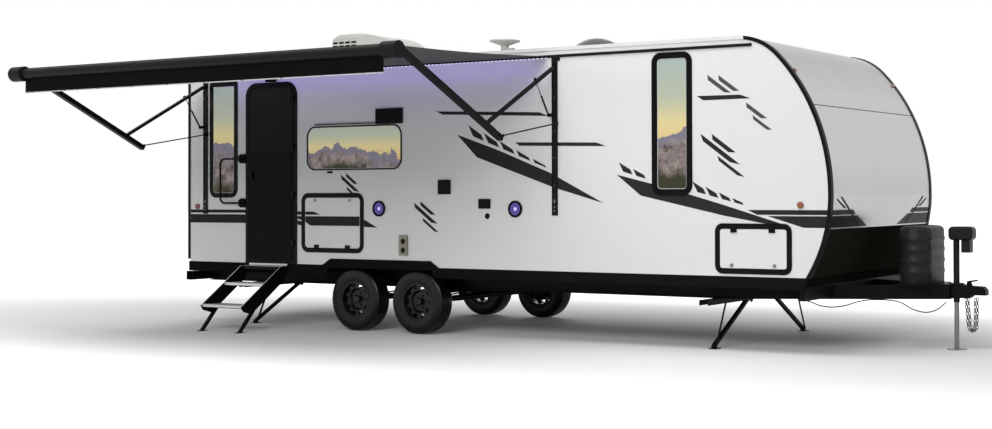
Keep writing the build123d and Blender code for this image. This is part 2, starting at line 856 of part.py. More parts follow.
door_glass_t = 5.0
door_border = 12.0
door_hinge_x = door_x0 + door_w - door_frame_w + 6
door_hinge_y = -(half_width + hinge_out)
with BuildPart() as leaf:
    with BuildSketch(side_plane(DOOR_SIDE, leaf_out - door_t)):
        add(pane(leaf_x0, leaf_z0, leaf_w, leaf_h, leaf_r, 5.0))
    extrude(amount=door_t)
    for z in (leaf_z0 + 160, leaf_z0 + 680, leaf_z0 + 1200, leaf_z0 + 1720):
        with BuildSketch(Plane.XY.offset(z)):
            with Locations((door_hinge_x, door_hinge_y)):
                Circle(hinge_r)
            with Locations(((door_hinge_x + leaf_x0 + leaf_w - 30) / 2, door_hinge_y + hinge_r / 2)):
                Rectangle(door_hinge_x - leaf_x0 - leaf_w + 30, hinge_r)
            with Locations((leaf_x0 + leaf_w - 15, (door_hinge_y - leaf_out) / 2)):
                Rectangle(30, -door_hinge_y - leaf_out)
        extrude(amount=70)
    with BuildSketch(side_plane(DOOR_SIDE, leaf_out)):
        with Locations((leaf_x0 + 45, 1640)):
            RectangleRounded(50, 110, 8)
    extrude(amount=14)
    with BuildSketch(side_plane(DOOR_SIDE, leaf_out + 14)):
        with Locations((leaf_x0 + 45, 1655)):
            RectangleRounded(36, 60, 6)
    extrude(amount=16)
save(leaf, "entry_door_leaf")

with BuildPart() as door_glass:
    with BuildSketch(side_plane(DOOR_SIDE, leaf_out)):
        add(pane(leaf_x0, leaf_z0, leaf_w, leaf_h, leaf_r, 5.0, door_border))
        with Locations((leaf_x0 + 45, 1640)):
            Rectangle(52, 112, mode=Mode.SUBTRACT)
        for z in (leaf_z0 + 160, leaf_z0 + 680, leaf_z0 + 1200, leaf_z0 + 1720):
            with Locations((leaf_x0 + leaf_w - 20, z + 35)):
                Rectangle(42, 72, mode=Mode.SUBTRACT)
    extrude(amount=door_glass_t)
save(door_glass, "entry_door_glass")

# Luggage doors with their frames
locker_out = half_width + 5
latch_in = locker_frame_w + 32
latch_r = 17.0
latch_t = 6.0
with BuildPart() as locker_frames:
    for _, side, x0, z0, w, h, r, _ in lockers:
        with BuildSketch(side_plane(side, half_width)):
            add(pane(x0, z0, w, h, r, r))
            add(pane(x0, z0, w, h, r, r, locker_frame_w), mode=Mode.SUBTRACT)
        extrude(amount=side * frame_proud)
        with BuildSketch(side_plane(side, half_width - wall_t)):
            add(pane(x0, z0, w, h, r, r, frame_lap + sheet_gap))
            add(pane(x0, z0, w, h, r, r, locker_frame_w), mode=Mode.SUBTRACT)
        extrude(amount=side * wall_t)
save(locker_frames, "luggage_door_frames")

for name, side, x0, z0, w, h, r, top_hinge in lockers:
    with BuildPart() as locker_leaf:
        with BuildSketch(side_plane(side, locker_out - locker_t)):
            add(pane(x0, z0, w, h, r, r, locker_frame_w + door_gap))
        extrude(amount=side * locker_t)
        hinge_z = z0 + h - locker_frame_w + 4 if top_hinge else z0 + locker_frame_w - 4
        toward_leaf = -1 if top_hinge else 1
        for hinge_x in (x0 + 0.25 * w, x0 + 0.75 * w):
            with BuildSketch(Plane.YZ.offset(hinge_x - 30)):
                with Locations((-side * (half_width + hinge_out), hinge_z)):
                    Circle(hinge_r)
                with Locations((-side * (half_width + hinge_out - hinge_r / 2), hinge_z + toward_leaf * 20)):
                    Rectangle(hinge_r, 40)
                with Locations((-side * (locker_out + half_width + hinge_out) / 2, hinge_z + toward_leaf * 28)):
                    Rectangle(half_width + hinge_out - locker_out, 24)
            extrude(amount=60)
        latch_z = z0 + latch_in if top_hinge else z0 + h - latch_in
        with BuildSketch(side_plane(side, locker_out)):
            with Locations((x0 + 0.22 * w, latch_z), (x0 + 0.78 * w, latch_z)):
                Circle(latch_r)
        extrude(amount=side * latch_t)
        with BuildSketch(side_plane(side, locker_out + latch_t)):
            with Locations((x0 + 0.22 * w, latch_z), (x0 + 0.78 * w, latch_z)):
                Rectangle(2 * latch_r - 6, 9)
        extrude(amount=side * latch_t)
    save(locker_leaf, name)

# Grab handle beside the door and its brackets
handle_x = -7800.0
handle_bar_x = -8098.0
handle_y = -(half_width + 49)
handle_tube_r = 11.0
handle_low = 1345.0
handle_high = 1832.0
sleeve_r = 14.0
sleeve_h = 56.0
bracket_gap = 0.3
with BuildPart() as handle:
    with BuildLine():
        FilletPolyline(
            (handle_x, handle_y, handle_low),
            (handle_bar_x, handle_y, handle_low),
            (handle_bar_x, handle_y, handle_high),
            (handle_x, handle_y, handle_high),
            radius=60,
        )
    with BuildSketch(Plane(origin=(handle_x, handle_y, handle_low), z_dir=(-1, 0, 0))):
        Circle(handle_tube_r)
    sweep()
    for z in (handle_low, handle_high):
        with Locations((handle_x, handle_y, z)):
            Cylinder(sleeve_r, sleeve_h)
save(handle, "grab_handle")

# Awning rail, wall channels with their lugs, folding arms, roller and fabric
awning_xs = (("front", awning_front_x), ("rear", awning_rear_x))
rail_low = 2748.0
rail_size = 26.0
rail_out = 14.0
awning_rail_rear_x = -8500.0
awning_rail_front_x = -1467.0
link_dy = knee_y - pivot_y
link_dz = knee_z - pivot_z
link_len = math.hypot(link_dy, link_dz)
link_angle = math.degrees(math.atan2(-link_dy, -link_dz))
arm_span = math.hypot(roller_y - knee_y, roller_z - knee_z)
arm_len = math.sqrt(arm_span**2 - roller_offset**2)
arm_angle = math.degrees(
    math.atan2(knee_y - roller_y, roller_z - knee_z) - math.atan2(roller_offset, arm_len)
)
arm_dir = (-math.sin(math.radians(arm_angle)), math.cos(math.radians(arm_angle)))
knee_folded_z = pivot_z - link_len
# Distance below the knee at which the lower rod closes the linkage, both open and folded
tail_run = (link_dy**2 + (knee_z - rod_pivot_z) ** 2 - (rod_pivot_z - knee_folded_z) ** 2) / (
    2 * (rod_pivot_z - knee_folded_z + link_dy * arm_dir[0] + (knee_z - rod_pivot_z) * arm_dir[1])
)
rod_len = rod_pivot_z - knee_folded_z + tail_run
tail_y = knee_y - arm_dir[0] * tail_run
tail_z = knee_z - arm_dir[1] * tail_run
rod_angle = math.degrees(math.atan2(pivot_y - tail_y, rod_pivot_z - tail_z))
strut_end_y = pivot_y + link_dy / link_len * strut_eye
strut_end_z = pivot_z + link_dz / link_len * strut_eye
strut_angle = math.degrees(math.atan2(pivot_y - strut_end_y, strut_end_z - strut_pivot_z))
strut_len = math.hypot(pivot_y - strut_end_y, strut_end_z - strut_pivot_z)
print("link angle", round(link_angle, 3), "arm angle", round(arm_angle, 3), "rod angle", round(rod_angle, 3))
print("strut angle", round(strut_angle, 3), "tail", round(tail_run, 1), "rod", round(rod_len, 1))
rod_x = 45.0
strut_x = -48.0
lug_half = 8.0
channel_lug_r = 15.0
tab_x0 = 34.0
tab_t = 4.0
pin_r = 7.0
tail_extra = 52.0


def bar_plane(x, y, z, angle_y, angle_z):
    """Side plane of an arm that starts at y, z and runs along the given direction."""
    return Plane(origin=(x, y, z), x_dir=(0, angle_y, angle_z), z_dir=(1, 0, 0))


with BuildPart() as channels:
    with BuildSketch(side_plane(DOOR_SIDE, half_width)):
        with Locations(((awning_rail_rear_x + awning_rail_front_x) / 2, rail_low + rail_size / 2)):
            Rectangle(awning_rail_front_x - awning_rail_rear_x, rail_size)
    extrude(amount=rail_out)
    for _, x in awning_xs:
        with BuildSketch(Plane.XY.offset(channel_low)):
            with BuildLine():
                Polyline(
                    (x - channel_half_w, -half_width),
                    (x - channel_half_w, -half_width - channel_depth),
                    (x - channel_half_w + 4, -half_width - channel_depth),
                    (x - channel_half_w + 4, -half_width - 4),
                    (x + channel_half_w - 4, -half_width - 4),
                    (x + channel_half_w - 4, -half_width - channel_depth),
                    (x + channel_half_w, -half_width - channel_depth),
                    (x + channel_half_w, -half_width),
                    close=True,
                )
            make_face()
        extrude(amount=channel_high - channel_low)
        with BuildSketch(Plane.YZ.offset(x - lug_half)):
            with Locations((pivot_y, pivot_z)):
                Circle(channel_lug_r)
            with Locations(((pivot_y - half_width - 4) / 2, pivot_z)):
                Rectangle(-half_width - 4 - pivot_y, 2 * channel_lug_r)
            with Locations((pivot_y, pivot_z)):
                Circle(pin_r + pin_clear, mode=Mode.SUBTRACT)
        extrude(amount=2 * lug_half)
        for sign, pin_z in ((1, rod_pivot_z), (-1, strut_pivot_z)):
            with BuildSketch(Plane.YZ.offset(x + sign * tab_x0)):
                with Locations((pivot_y, pin_z)):
                    Circle(16)
                with Locations(((pivot_y - half_width) / 2, pin_z)):
                    Rectangle(-half_width - pivot_y, 32)
                with Locations((pivot_y, pin_z)):
                    Circle(5 + pin_clear, mode=Mode.SUBTRACT)
            extrude(amount=sign * tab_t)
            with BuildSketch(side_plane(DOOR_SIDE, half_width)):
                with Locations((x + sign * (channel_half_w + 1), pin_z)):
                    Rectangle(8, 32)
            extrude(amount=6)
save(channels, "awning_rail_and_channels")

with BuildPart() as links:
    link_dir = (link_dy / link_len, link_dz / link_len)
    for _, x in awning_xs:
        with BuildSketch(bar_plane(x - link_half_w, pivot_y, pivot_z, *link_dir)):
            with Locations((link_len / 2, 0)):
                SlotOverall(link_len + 2 * link_half_d, 2 * link_half_d)
        extrude(amount=2 * link_half_w)
        with BuildSketch(bar_plane(x - lug_half - 0.5, pivot_y, pivot_z, *link_dir)):
            with Locations((10, 0)):
                Rectangle(80, 4 * link_half_d)
        extrude(amount=2 * lug_half + 1, mode=Mode.SUBTRACT)
        with BuildSketch(Plane.YZ.offset(x - link_half_w)):
            with Locations((pivot_y, pivot_z)):
                Circle(pin_r)
        extrude(amount=2 * link_half_w)
        with BuildSketch(Plane.YZ.offset(x - arm_half_w)):
            with Locations((knee_y, knee_z)):
                Circle(pin_r)
        extrude(amount=2 * arm_half_w)
save(links, "awning_links")

with BuildPart() as arms:
    arm_mid = (arm_len - tail_run - tail_extra) / 2
    arm_total = arm_len + tail_run + tail_extra
    for _, x in awning_xs:
        with BuildSketch(bar_plane(x - arm_half_w, knee_y, knee_z, *arm_dir)):
            with Locations((arm_mid, 0)):
                Rectangle(arm_total, 2 * arm_half_d)
        extrude(amount=2 * arm_half_w)
        with BuildSketch(bar_plane(x - arm_half_w + arm_t, knee_y, knee_z, *arm_dir)):
            with Locations((arm_mid, -arm_t)):
                Rectangle(arm_total + 2, 2 * arm_half_d)
        extrude(amount=2 * (arm_half_w - arm_t), mode=Mode.SUBTRACT)
        with BuildSketch(Plane.YZ.offset(x - arm_half_w)):
            with Locations((knee_y, knee_z)):
                Circle(pin_r + pin_clear)
            with Locations((roller_y, roller_z)):
                Circle(head_r + sheet_gap)
        extrude(amount=2 * arm_half_w, mode=Mode.SUBTRACT)
save(arms, "awning_arms")

with BuildPart() as roller:
    with BuildSketch(Plane.YZ.offset(awning_rear_x + head_half)):
        with Locations((roller_y, roller_z)):
            Circle(roller_r)
            Circle(roller_r - roller_wall, mode=Mode.SUBTRACT)
    extrude(amount=awning_front_x - awning_rear_x - 2 * head_half)
    for _, x in awning_xs:
        with BuildSketch(Plane.YZ.offset(x - head_half)):
            with Locations((roller_y, roller_z)):
                Circle(head_r)
        extrude(amount=2 * head_half)
        with BuildSketch(Plane.YZ.offset(x - head_half + roller_wall)):
            with Locations((roller_y, roller_z)):
                Circle(head_r - roller_wall)
        extrude(amount=2 * (head_half - roller_wall), mode=Mode.SUBTRACT)
save(roller, "awning_roller")

with BuildPart() as rods:
    for _, x in awning_xs:
        with BuildSketch(
            bar_plane(x + rod_x - 5, pivot_y, rod_pivot_z, (tail_y - pivot_y) / rod_len, (tail_z - rod_pivot_z) / rod_len)
        ):
            with Locations((rod_len / 2, 0)):
                SlotOverall(rod_len + 24, 24)
                Rectangle(rod_len - 70, 30, mode=Mode.SUBTRACT)
                Rectangle(rod_len - 60, 12)
        extrude(amount=10)
        with BuildSketch(Plane.YZ.offset(x + tab_x0)):
            with Locations((pivot_y, rod_pivot_z)):
                Circle(5)
        extrude(amount=rod_x - tab_x0)
save(rods, "awning_lower_rods")

with BuildPart() as struts:
    strut_dir = ((strut_end_y - pivot_y) / strut_len, (strut_end_z - strut_pivot_z) / strut_len)
    for _, x in awning_xs:
        for offset_run, run, r in ((16, strut_len * 0.5, 9), (16, strut_len - 30, 4)):
            start = (
                x + strut_x,
                pivot_y + strut_dir[0] * offset_run,
                strut_pivot_z + strut_dir[1] * offset_run,
            )
            with BuildSketch(Plane(origin=start, z_dir=(0, strut_dir[0], strut_dir[1]))):
                Circle(r)
            extrude(amount=run)
        for y, z in ((pivot_y, strut_pivot_z), (strut_end_y, strut_end_z)):
            with BuildSketch(Plane.YZ.offset(x + strut_x - 5)):
                with Locations((y, z)):
                    Circle(18)
            extrude(amount=10)
        with BuildSketch(Plane.YZ.offset(x + strut_x)):
            with Locations((pivot_y, strut_pivot_z)):
                Circle(5)
        extrude(amount=-strut_x - tab_x0)
save(struts, "awning_struts")

fabric_x0 = awning_rear_x + head_half + 8
fabric_x1 = awning_front_x - head_half - 8
fabric_t = 4.0
fabric_wall_z = rail_low + 13
valance_drop = 232.0
with BuildPart() as fabric:
    with BuildSketch(Plane.YZ.offset(fabric_x0)):
        with BuildLine():
            Polyline(
                (-half_width - rail_out - sheet_gap, fabric_wall_z),
                (-half_width - rail_out - sheet_gap, fabric_wall_z + fabric_t),
                (roller_y, roller_z + roller_r + fabric_t + 0.5),
                (roller_y, roller_z + roller_r + 0.5),
                close=True,
            )
        make_face()
    extrude(amount=fabric_x1 - fabric_x0)
save(fabric, "awning_fabric")

with BuildPart() as valance:
    with BuildSketch(Plane.YZ.offset(fabric_x0)):
        with Locations((roller_y, roller_z - roller_r / 2 - valance_drop / 2)):
            Rectangle(fabric_t, valance_drop - roller_r / 2)
        with Locations((roller_y, roller_z)):
            Circle(roller_r + 0.5, mode=Mode.SUBTRACT)
    extrude(amount=fabric_x1 - fabric_x0)
save(valance, "awning_valance")

# Entry steps: side plates, treads and the legs that reach the ground
slope = math.radians(step_slope)
along = (-math.cos(slope), -math.sin(slope))
normal = (math.sin(slope), -math.cos(slope))
step_x1 = step_x0 + step_w
nose_line_y = step_hinge_y - 97.0
nose_line_z = 662.0
plate_run = 680.0


def on_slope(run, depth):
    """Point on the side plates: run down the slope and depth below its upper edge."""
    return (
        nose_line_y + along[0] * run + normal[0] * depth,
        nose_line_z + along[1] * run + normal[1] * depth,
    )


tread_t = 32.0
tread_depth = 200.0
treads = (("top", 0.0), ("middle", 290.0), ("low", 655.0))
leg_w = 30.0
foot_t = 6.0
with BuildPart() as step_frame:
    for x in (step_x0, step_x1 - step_plate_t):
        with BuildSketch(Plane.YZ.offset(x)):
            with BuildLine():
                Polyline(
                    (step_hinge_y, nose_line_z),
                    (nose_line_y, nose_line_z),
                    on_slope(plate_run, 0),
                    on_slope(plate_run, 60),
                    on_slope(plate_run - 70, step_plate_depth),
                    on_slope(40, step_plate_depth),
                    (step_hinge_y, step_hinge_z - 30),
                    close=True,
                )
            make_face()
        extrude(amount=step_plate_t)
    with BuildSketch(Plane.YZ.offset(step_x0 - step_lug_gap - step_lug_t)):
        with Locations((step_hinge_y, step_hinge_z)):
            Circle(step_pin_r)
    extrude(amount=step_w + 2 * (step_lug_gap + step_lug_t))
    for x in (step_x0 + step_plate_t, step_x1 - step_plate_t - leg_w):
        foot_y = step_hinge_y - 667.0
        leg_top_y, leg_top_z = on_slope(540, 125)
        with BuildSketch(Plane.YZ.offset(x)):
            with BuildLine():
                Polyline(
                    (leg_top_y, leg_top_z),
                    (foot_y, foot_t),
                    (foot_y + 40, foot_t),
                    (leg_top_y + 40, leg_top_z),
                    close=True,
                )
            make_face()
        extrude(amount=leg_w)
        with BuildSketch(Plane.XY):
            with Locations((x + leg_w / 2, foot_y + 20)):
                RectangleRounded(70, 90, 10)
        extrude(amount=foot_t)
save(step_frame, "entry_step_frame")

with BuildPart() as step_treads:
    for _, run in treads:
        y, z = on_slope(run, 0)
        depth = nose_line_y - step_hinge_y + step_pin_r + 2 if run == 0 else -tread_depth
        with BuildSketch(Plane.YZ.offset(step_x0 + step_plate_t + sheet_gap)):
            with Locations((y + abs(depth) / 2, z - tread_t / 2)):
                Rectangle(abs(depth) - 1, tread_t)
        extrude(amount=step_w - 2 * step_plate_t - 2 * sheet_gap)
save(step_treads, "entry_step_treads")

# Stabilisers front and rear: channel, diagonal leg with its foot, and brace
stab_channel_w = 93.0
stab_channel_h = 50.0
stab_pin_r = 6.0
stab_leg_w = 40.0
stab_leg_h = 28.0
stab_foot_t = 6.0
stab_foot_axis = 26.0
brace_x = 13.0
brace_w = 8.0
stabilisers = (("front", stab_front_x), ("rear", stab_rear_x))
with BuildPart() as stab_channels:
    for _, x in stabilisers:
        with BuildSketch(Plane.XZ.offset(-half_width + 60)):
            with Locations((x, rail_top - rail_h - stab_channel_h / 2)):
                Rectangle(stab_channel_w, stab_channel_h)
                Rectangle(stab_channel_w - 8, stab_channel_h - 8, mode=Mode.SUBTRACT)
            with Locations((x, rail_top - rail_h - stab_channel_h)):
                Rectangle(stab_channel_w - 8, 20, mode=Mode.SUBTRACT)
        extrude(amount=2 * (half_width - 60))
        for _, side in SIDES:
            for ear_x in (x - stab_channel_w / 2, x + stab_channel_w / 2 - 4):
                with BuildSketch(Plane.YZ.offset(ear_x)):
                    with Locations((-side * stab_pivot_y, stab_pivot_z + 15)):
                        RectangleRounded(56, 66, 20)
                extrude(amount=4)
            with BuildSketch(Plane.YZ.offset(x - stab_channel_w / 2)):
                with Locations((-side * stab_pivot_y, stab_pivot_z)):
                    Circle(stab_pin_r)
            extrude(amount=stab_channel_w)
save(stab_channels, "stabiliser_channels")

for name, x in stabilisers:
    for side_name, side in SIDES:
        leg_dy = -side * (stab_foot_y - stab_pivot_y)
        leg_dz = stab_foot_axis - stab_pivot_z
        leg_len = math.hypot(leg_dy, leg_dz)
        leg_dir = (leg_dy / leg_len, leg_dz / leg_len)
        with BuildPart() as stab_leg:
            with BuildSketch(bar_plane(x - stab_leg_w / 2 - 8, -side * stab_pivot_y, stab_pivot_z, *leg_dir)):
                with Locations((leg_len / 2, 0)):
                    SlotOverall(leg_len + stab_leg_h, stab_leg_h)
                Circle(stab_pin_r + pin_clear, mode=Mode.SUBTRACT)
            extrude(amount=stab_leg_w)
            with BuildSketch(Plane.YZ.offset(x - 8)):
                with Locations((-side * stab_foot_y, stab_foot_axis)):
                    Circle(stab_pin_r)
            extrude(amount=8 + brace_x + brace_w)
            with BuildSketch(Plane.XY):
                with Locations((x, -side * stab_foot_y)):
                    RectangleRounded(90, 120, 20)
            extrude(amount=stab_foot_t)
            with BuildSketch(Plane.XY.offset(stab_foot_t)):
                with Locations((x - 8, -side * stab_foot_y)):
                    Rectangle(stab_leg_w, 40)
            extrude(amount=stab_foot_axis - stab_foot_t)
        save(stab_leg, f"{name}_{side_name}_stabiliser_leg")
        brace_dy = -side * (stab_brace_y - stab_foot_y)
        brace_dz = stab_pivot_z - stab_foot_axis
        brace_len = math.hypot(brace_dy, brace_dz)
        brace_dir = (brace_dy / brace_len, brace_dz / brace_len)
        with BuildPart() as brace:
            with BuildSketch(bar_plane(x + brace_x, -side * stab_foot_y, stab_foot_axis, *brace_dir)):
                with Locations((brace_len / 2, 0)):
                    SlotOverall(brace_len + 22, 22)
                Circle(stab_pin_r + pin_clear, mode=Mode.SUBTRACT)
            extrude(amount=brace_w)
        save(brace, f"{name}_{side_name}_stabiliser_brace")

# Roof: air conditioner, two vent lids and the antenna
ac_x = -6800.0
ac_len = 1040.0
ac_w = 720.0
ac_h = 410.0
ac_nose_w = 380.0
ac_nose_h = 150.0
louvre_depth = 14.0
ac_rear_x = ac_x - ac_len / 2
ac_front_x = ac_x + ac_len / 2
ac_crown_x = ac_x - 120
with BuildPart() as ac:
    with BuildSketch(Plane.XZ.offset(-ac_w / 2)):
        with BuildLine():
            Polyline(
                (ac_front_x, roof_top),
                (ac_rear_x, roof_top),
                (ac_rear_x + 20, roof_top + ac_h - 60),
                (ac_rear_x + 90, roof_top + ac_h),
                (ac_crown_x, roof_top + ac_h),
            )
            ThreePointArc(
                (ac_crown_x, roof_top + ac_h),
                (ac_crown_x + 350, roof_top + ac_h - 80),
                (ac_front_x, roof_top + ac_nose_h),
            )
            Line((ac_front_x, roof_top + ac_nose_h), (ac_front_x, roof_top))
        make_face()
    extrude(amount=ac_w)
    chamfer(ac.faces().sort_by(Axis.Z)[-1].edges().filter_by(Axis.X), 30, 40)
    # The shell narrows to its nose
    with BuildSketch(Plane.XY.offset(roof_top)):
        with BuildLine():
            Polyline(
                (ac_front_x, ac_nose_w / 2),
                (ac_crown_x, ac_w / 2),
                (ac_rear_x, ac_w / 2),
                (ac_rear_x, -ac_w / 2),
                (ac_crown_x, -ac_w / 2),
                (ac_front_x, -ac_nose_w / 2),
                close=True,
            )
        make_face()
    extrude(amount=ac_h, mode=Mode.INTERSECT)
    # Louvres through both sides and the rear
    for side in (DOOR_SIDE, ROAD_SIDE):
        with BuildSketch(side_plane(side, ac_w / 2)):
            with Locations((ac_rear_x + 200, roof_top + ac_h / 2 + 30)):
                with GridLocations(92, 40, 4, 5):
                    Rectangle(72, 22)
        extrude(amount=-side * louvre_depth, mode=Mode.SUBTRACT)
    with BuildSketch(Plane.YZ.offset(ac_rear_x)):
        with Locations((0, roof_top + ac_h / 2)):
            with GridLocations(92, 40, 6, 5):
                Rectangle(72, 22)
    extrude(amount=2 * louvre_depth, mode=Mode.SUBTRACT)
save(ac, "air_conditioner")

dome_x = -3930.0
dome_r = 325.0
dome_h = 185.0
dome_base = 40.0
antenna_x = -4790.0
antenna_y = -450.0
antenna_h = 205.0
antenna_r = 160.0
with BuildPart() as vents:
    # Rear lid
    with BuildSketch(Plane.XY.offset(roof_top)):
        with Locations((-7900, 0)):
            RectangleRounded(400, 400, 30)
    extrude(amount=90)
    with BuildSketch(Plane.XY.offset(roof_top + 90)):
        with Locations((-7900, 0)):
            RectangleRounded(460, 460, 60)
    extrude(amount=60, taper=30)
    # Domed skylight on its base
    with BuildSketch(Plane.XY.offset(roof_top)):
        with Locations((dome_x, 0)):
            RectangleRounded(2 * dome_r + 40, 2 * dome_r - 40, 90)
    extrude(amount=dome_base)
    with BuildSketch(Plane.XZ):
        with BuildLine():
            sphere_r = (dome_r**2 + dome_h**2) / (2 * dome_h)
            half_turn = math.asin(dome_r / sphere_r) / 2
            mid_r = sphere_r * math.sin(half_turn)
            mid_h = dome_h - sphere_r * (1 - math.cos(half_turn))
            base = roof_top + dome_base
            Polyline((dome_x, base + dome_h), (dome_x, base), (dome_x + dome_r, base))
            ThreePointArc(
                (dome_x + dome_r, base),
                (dome_x + mid_r, base + mid_h),
                (dome_x, base + dome_h),
            )
        make_face()
    revolve(axis=Axis((dome_x, 0, 0), (0, 0, 1)))
    # Antenna: foot, mast, flared head and the drive beside the mast
    for bottom, top, bottom_r, top_r in (
        (0, 60, 80, 50),
        (60, antenna_h - 50, 42, 42),
        (antenna_h - 50, antenna_h - 12, 55, antenna_r),
        (antenna_h - 12, antenna_h, antenna_r, antenna_r),
    ):
        with BuildSketch(Plane.XY.offset(roof_top + bottom)):
            with Locations((antenna_x, antenna_y)):
                Circle(bottom_r)
        with BuildSketch(Plane.XY.offset(roof_top + top)):
            with Locations((antenna_x, antenna_y)):
                Circle(top_r)
        loft()
    with BuildSketch(Plane.XY.offset(roof_top + 70)):
        with Locations((antenna_x + 70, antenna_y)):
            Rectangle(90, 50)
    extrude(amount=50)
save(vents, "roof_vents_and_antenna")

# Fittings on the walls
gutter_rear_x = -6720.0
gutter_front_x = -5872.0
gutter_z = 2178.0
with BuildPart() as fittings:
    # centre x, centre z, width, height, corner radius, thickness
    for x, z, w, h, r, t in (
        (-5686.0, 2243.0, 354.0, 158.0, 6.0, 22.0),
        (-4963.0, 1507.0, 156.0, 146.0, 8.0, 16.0),
        (-4456.0, 1338.0, 144.0, 96.0, 10.0, 14.0),
        (-6511.0, 1670.0, 74.0, 22.0, 8.0, 10.0),
        (-7358.0, 2682.0, 132.0, 40.0, 10.0, 40.0),
    ):
        with BuildSketch(side_plane(DOOR_SIDE, half_width)):
            with Locations((x, z)):
                RectangleRounded(w, h, r)
        extrude(amount=t)
    with BuildSketch(side_plane(DOOR_SIDE, half_width)):
        with Locations(((gutter_rear_x + gutter_front_x) / 2, gutter_z)):
            Rectangle(gutter_front_x - gutter_rear_x, 10)
    extrude(amount=18)
    for z in (handle_low, handle_high):
        with BuildSketch(side_plane(DOOR_SIDE, half_width)):
            with Locations((handle_x, z)):
                RectangleRounded(84, 100, 10)
        extrude(amount=10)
        for lug_z in (z + sleeve_h / 2 + bracket_gap, z - sleeve_h / 2 - bracket_gap - 8):
            with BuildSketch(Plane.XY.offset(lug_z)):
                with Locations((handle_x, -(half_width + 26))):
                    Rectangle(28, 52)
                with Locations((handle_x, handle_y)):
                    Circle(14)
            extrude(amount=8)
save(fittings, "wall_fittings")

speaker_xs = (-5827.0, -4079.0)
speaker_z = 1287.0
speaker_r = 82.0
speaker_t = 16.0
speaker_ring_w = 20.0
speaker_dish = 10.0
with BuildPart() as speakers:
    for x in speaker_xs:
        with BuildSketch(side_plane(DOOR_SIDE, half_width)):
            with Locations((x, speaker_z)):
                Circle(speaker_r)
        extrude(amount=speaker_t)
        with BuildSketch(side_plane(DOOR_SIDE, half_width + speaker_t)):
            with Locations((x, speaker_z)):
                Circle(speaker_r - speaker_ring_w)
        extrude(amount=-speaker_dish, mode=Mode.SUBTRACT)
    with BuildSketch(side_plane(DOOR_SIDE, half_width)):
        with Locations((-5493, 912)):
            RectangleRounded(106, 208, 8)
    extrude(amount=24)
save(speakers, "speakers_and_outlet")

cap_lamp_z = 2518.0
cap_lamp_angle = math.asin((cap_lamp_z - nose_z) / nose_upper_r)
cap_lamp_x = nose_x - nose_upper_r + nose_upper_r * math.cos(cap_lamp_angle)
with BuildPart() as markers:
    for side in (DOOR_SIDE, ROAD_SIDE):
        for x, z in ((-991.0, 1327.0), (-8506.0, 1306.0)):
            with BuildSketch(side_plane(side, half_width)):
                with Locations((x, z)):
                    Circle(30)
            extrude(amount=side * 16)
    for side in (DOOR_SIDE, ROAD_SIDE):
        with BuildSketch(Plane.YZ.offset(rear_x)):
            with Locations((-side * (half_width - 159), 1120)):
                RectangleRounded(110, 320, 20)
        extrude(amount=-30)
        with BuildSketch(
            Plane(
                origin=(cap_lamp_x, -side * (half_width - 72), cap_lamp_z),
                x_dir=(0, 1, 0),
                z_dir=(math.cos(cap_lamp_angle), 0, math.sin(cap_lamp_angle)),
            )
        ):
            RectangleRounded(50, 32, 10)
        extrude(amount=14)
    for y in (-150, 0, 150):
        with BuildSketch(Plane.YZ.offset(rear_x)):
            with Locations((y, roof_top - 120)):
                RectangleRounded(100, 32, 10)
        extrude(amount=-22)
save(markers, "lamps")
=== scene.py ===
# %% [markdown]
# # A travel caravan with its side awning out
# The CAD solids of the caravan are loaded as a fixed frame, in metres: X points forward to the coupler,
# Y to the road side and Z up, and the entry door side is -Y. This lesson gives every solid its finish,
# adds the thin things that CAD leaves out, such as stripes, nosings, tread and cloth, and lights it.

import math

import bmesh
import bpy
from mathutils import Matrix, Vector


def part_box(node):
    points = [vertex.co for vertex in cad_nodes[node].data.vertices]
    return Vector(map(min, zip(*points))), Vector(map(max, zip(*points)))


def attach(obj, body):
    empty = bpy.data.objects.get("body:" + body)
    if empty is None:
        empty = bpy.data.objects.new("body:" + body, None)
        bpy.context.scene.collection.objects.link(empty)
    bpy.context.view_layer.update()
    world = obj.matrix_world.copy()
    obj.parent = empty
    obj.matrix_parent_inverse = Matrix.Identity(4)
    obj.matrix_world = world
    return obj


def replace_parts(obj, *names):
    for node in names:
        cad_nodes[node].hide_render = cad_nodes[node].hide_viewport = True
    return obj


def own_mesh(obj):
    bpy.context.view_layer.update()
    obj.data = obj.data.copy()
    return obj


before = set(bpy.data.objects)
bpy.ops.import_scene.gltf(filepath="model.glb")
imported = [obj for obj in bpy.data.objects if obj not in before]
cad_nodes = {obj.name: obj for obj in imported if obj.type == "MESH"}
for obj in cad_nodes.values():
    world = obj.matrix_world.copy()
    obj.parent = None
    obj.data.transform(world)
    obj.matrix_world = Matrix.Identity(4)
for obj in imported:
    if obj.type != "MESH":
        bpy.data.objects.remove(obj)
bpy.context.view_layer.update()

# %% [markdown]
# ## Sizes that the pieces share
# They repeat the CAD's own sizes, so that each thin piece lies exactly on the solid that carries it.

# %% Shared sizes in metres
half_width = 1.219
nose_x, nose_z = -0.700, 1.420
nose_upper_r, nose_lower_r = 1.780, 1.350
wheel_y, tyre_r = 1.069, 0.3315
axle_xs = (-6.223, -5.383)
leaf_face = half_width + 0.005
fabric_x0, fabric_x1 = -8.292, -3.694
fabric_wall_y, fabric_wall_z = -1.2333, 2.761
roller_y, roller_z, roller_r = -3.530, 2.632, 0.048
decal_lift, decal_t = 0.0003, 0.0005


def door_side(lift):
    """Y of a face that stands out from the door side wall by lift."""
    return -half_width - lift


# %% [markdown]
# ## Camera
# The camera was solved from the photograph: its place, its three turns, its focal length in pixels and
# the shift of the frame.


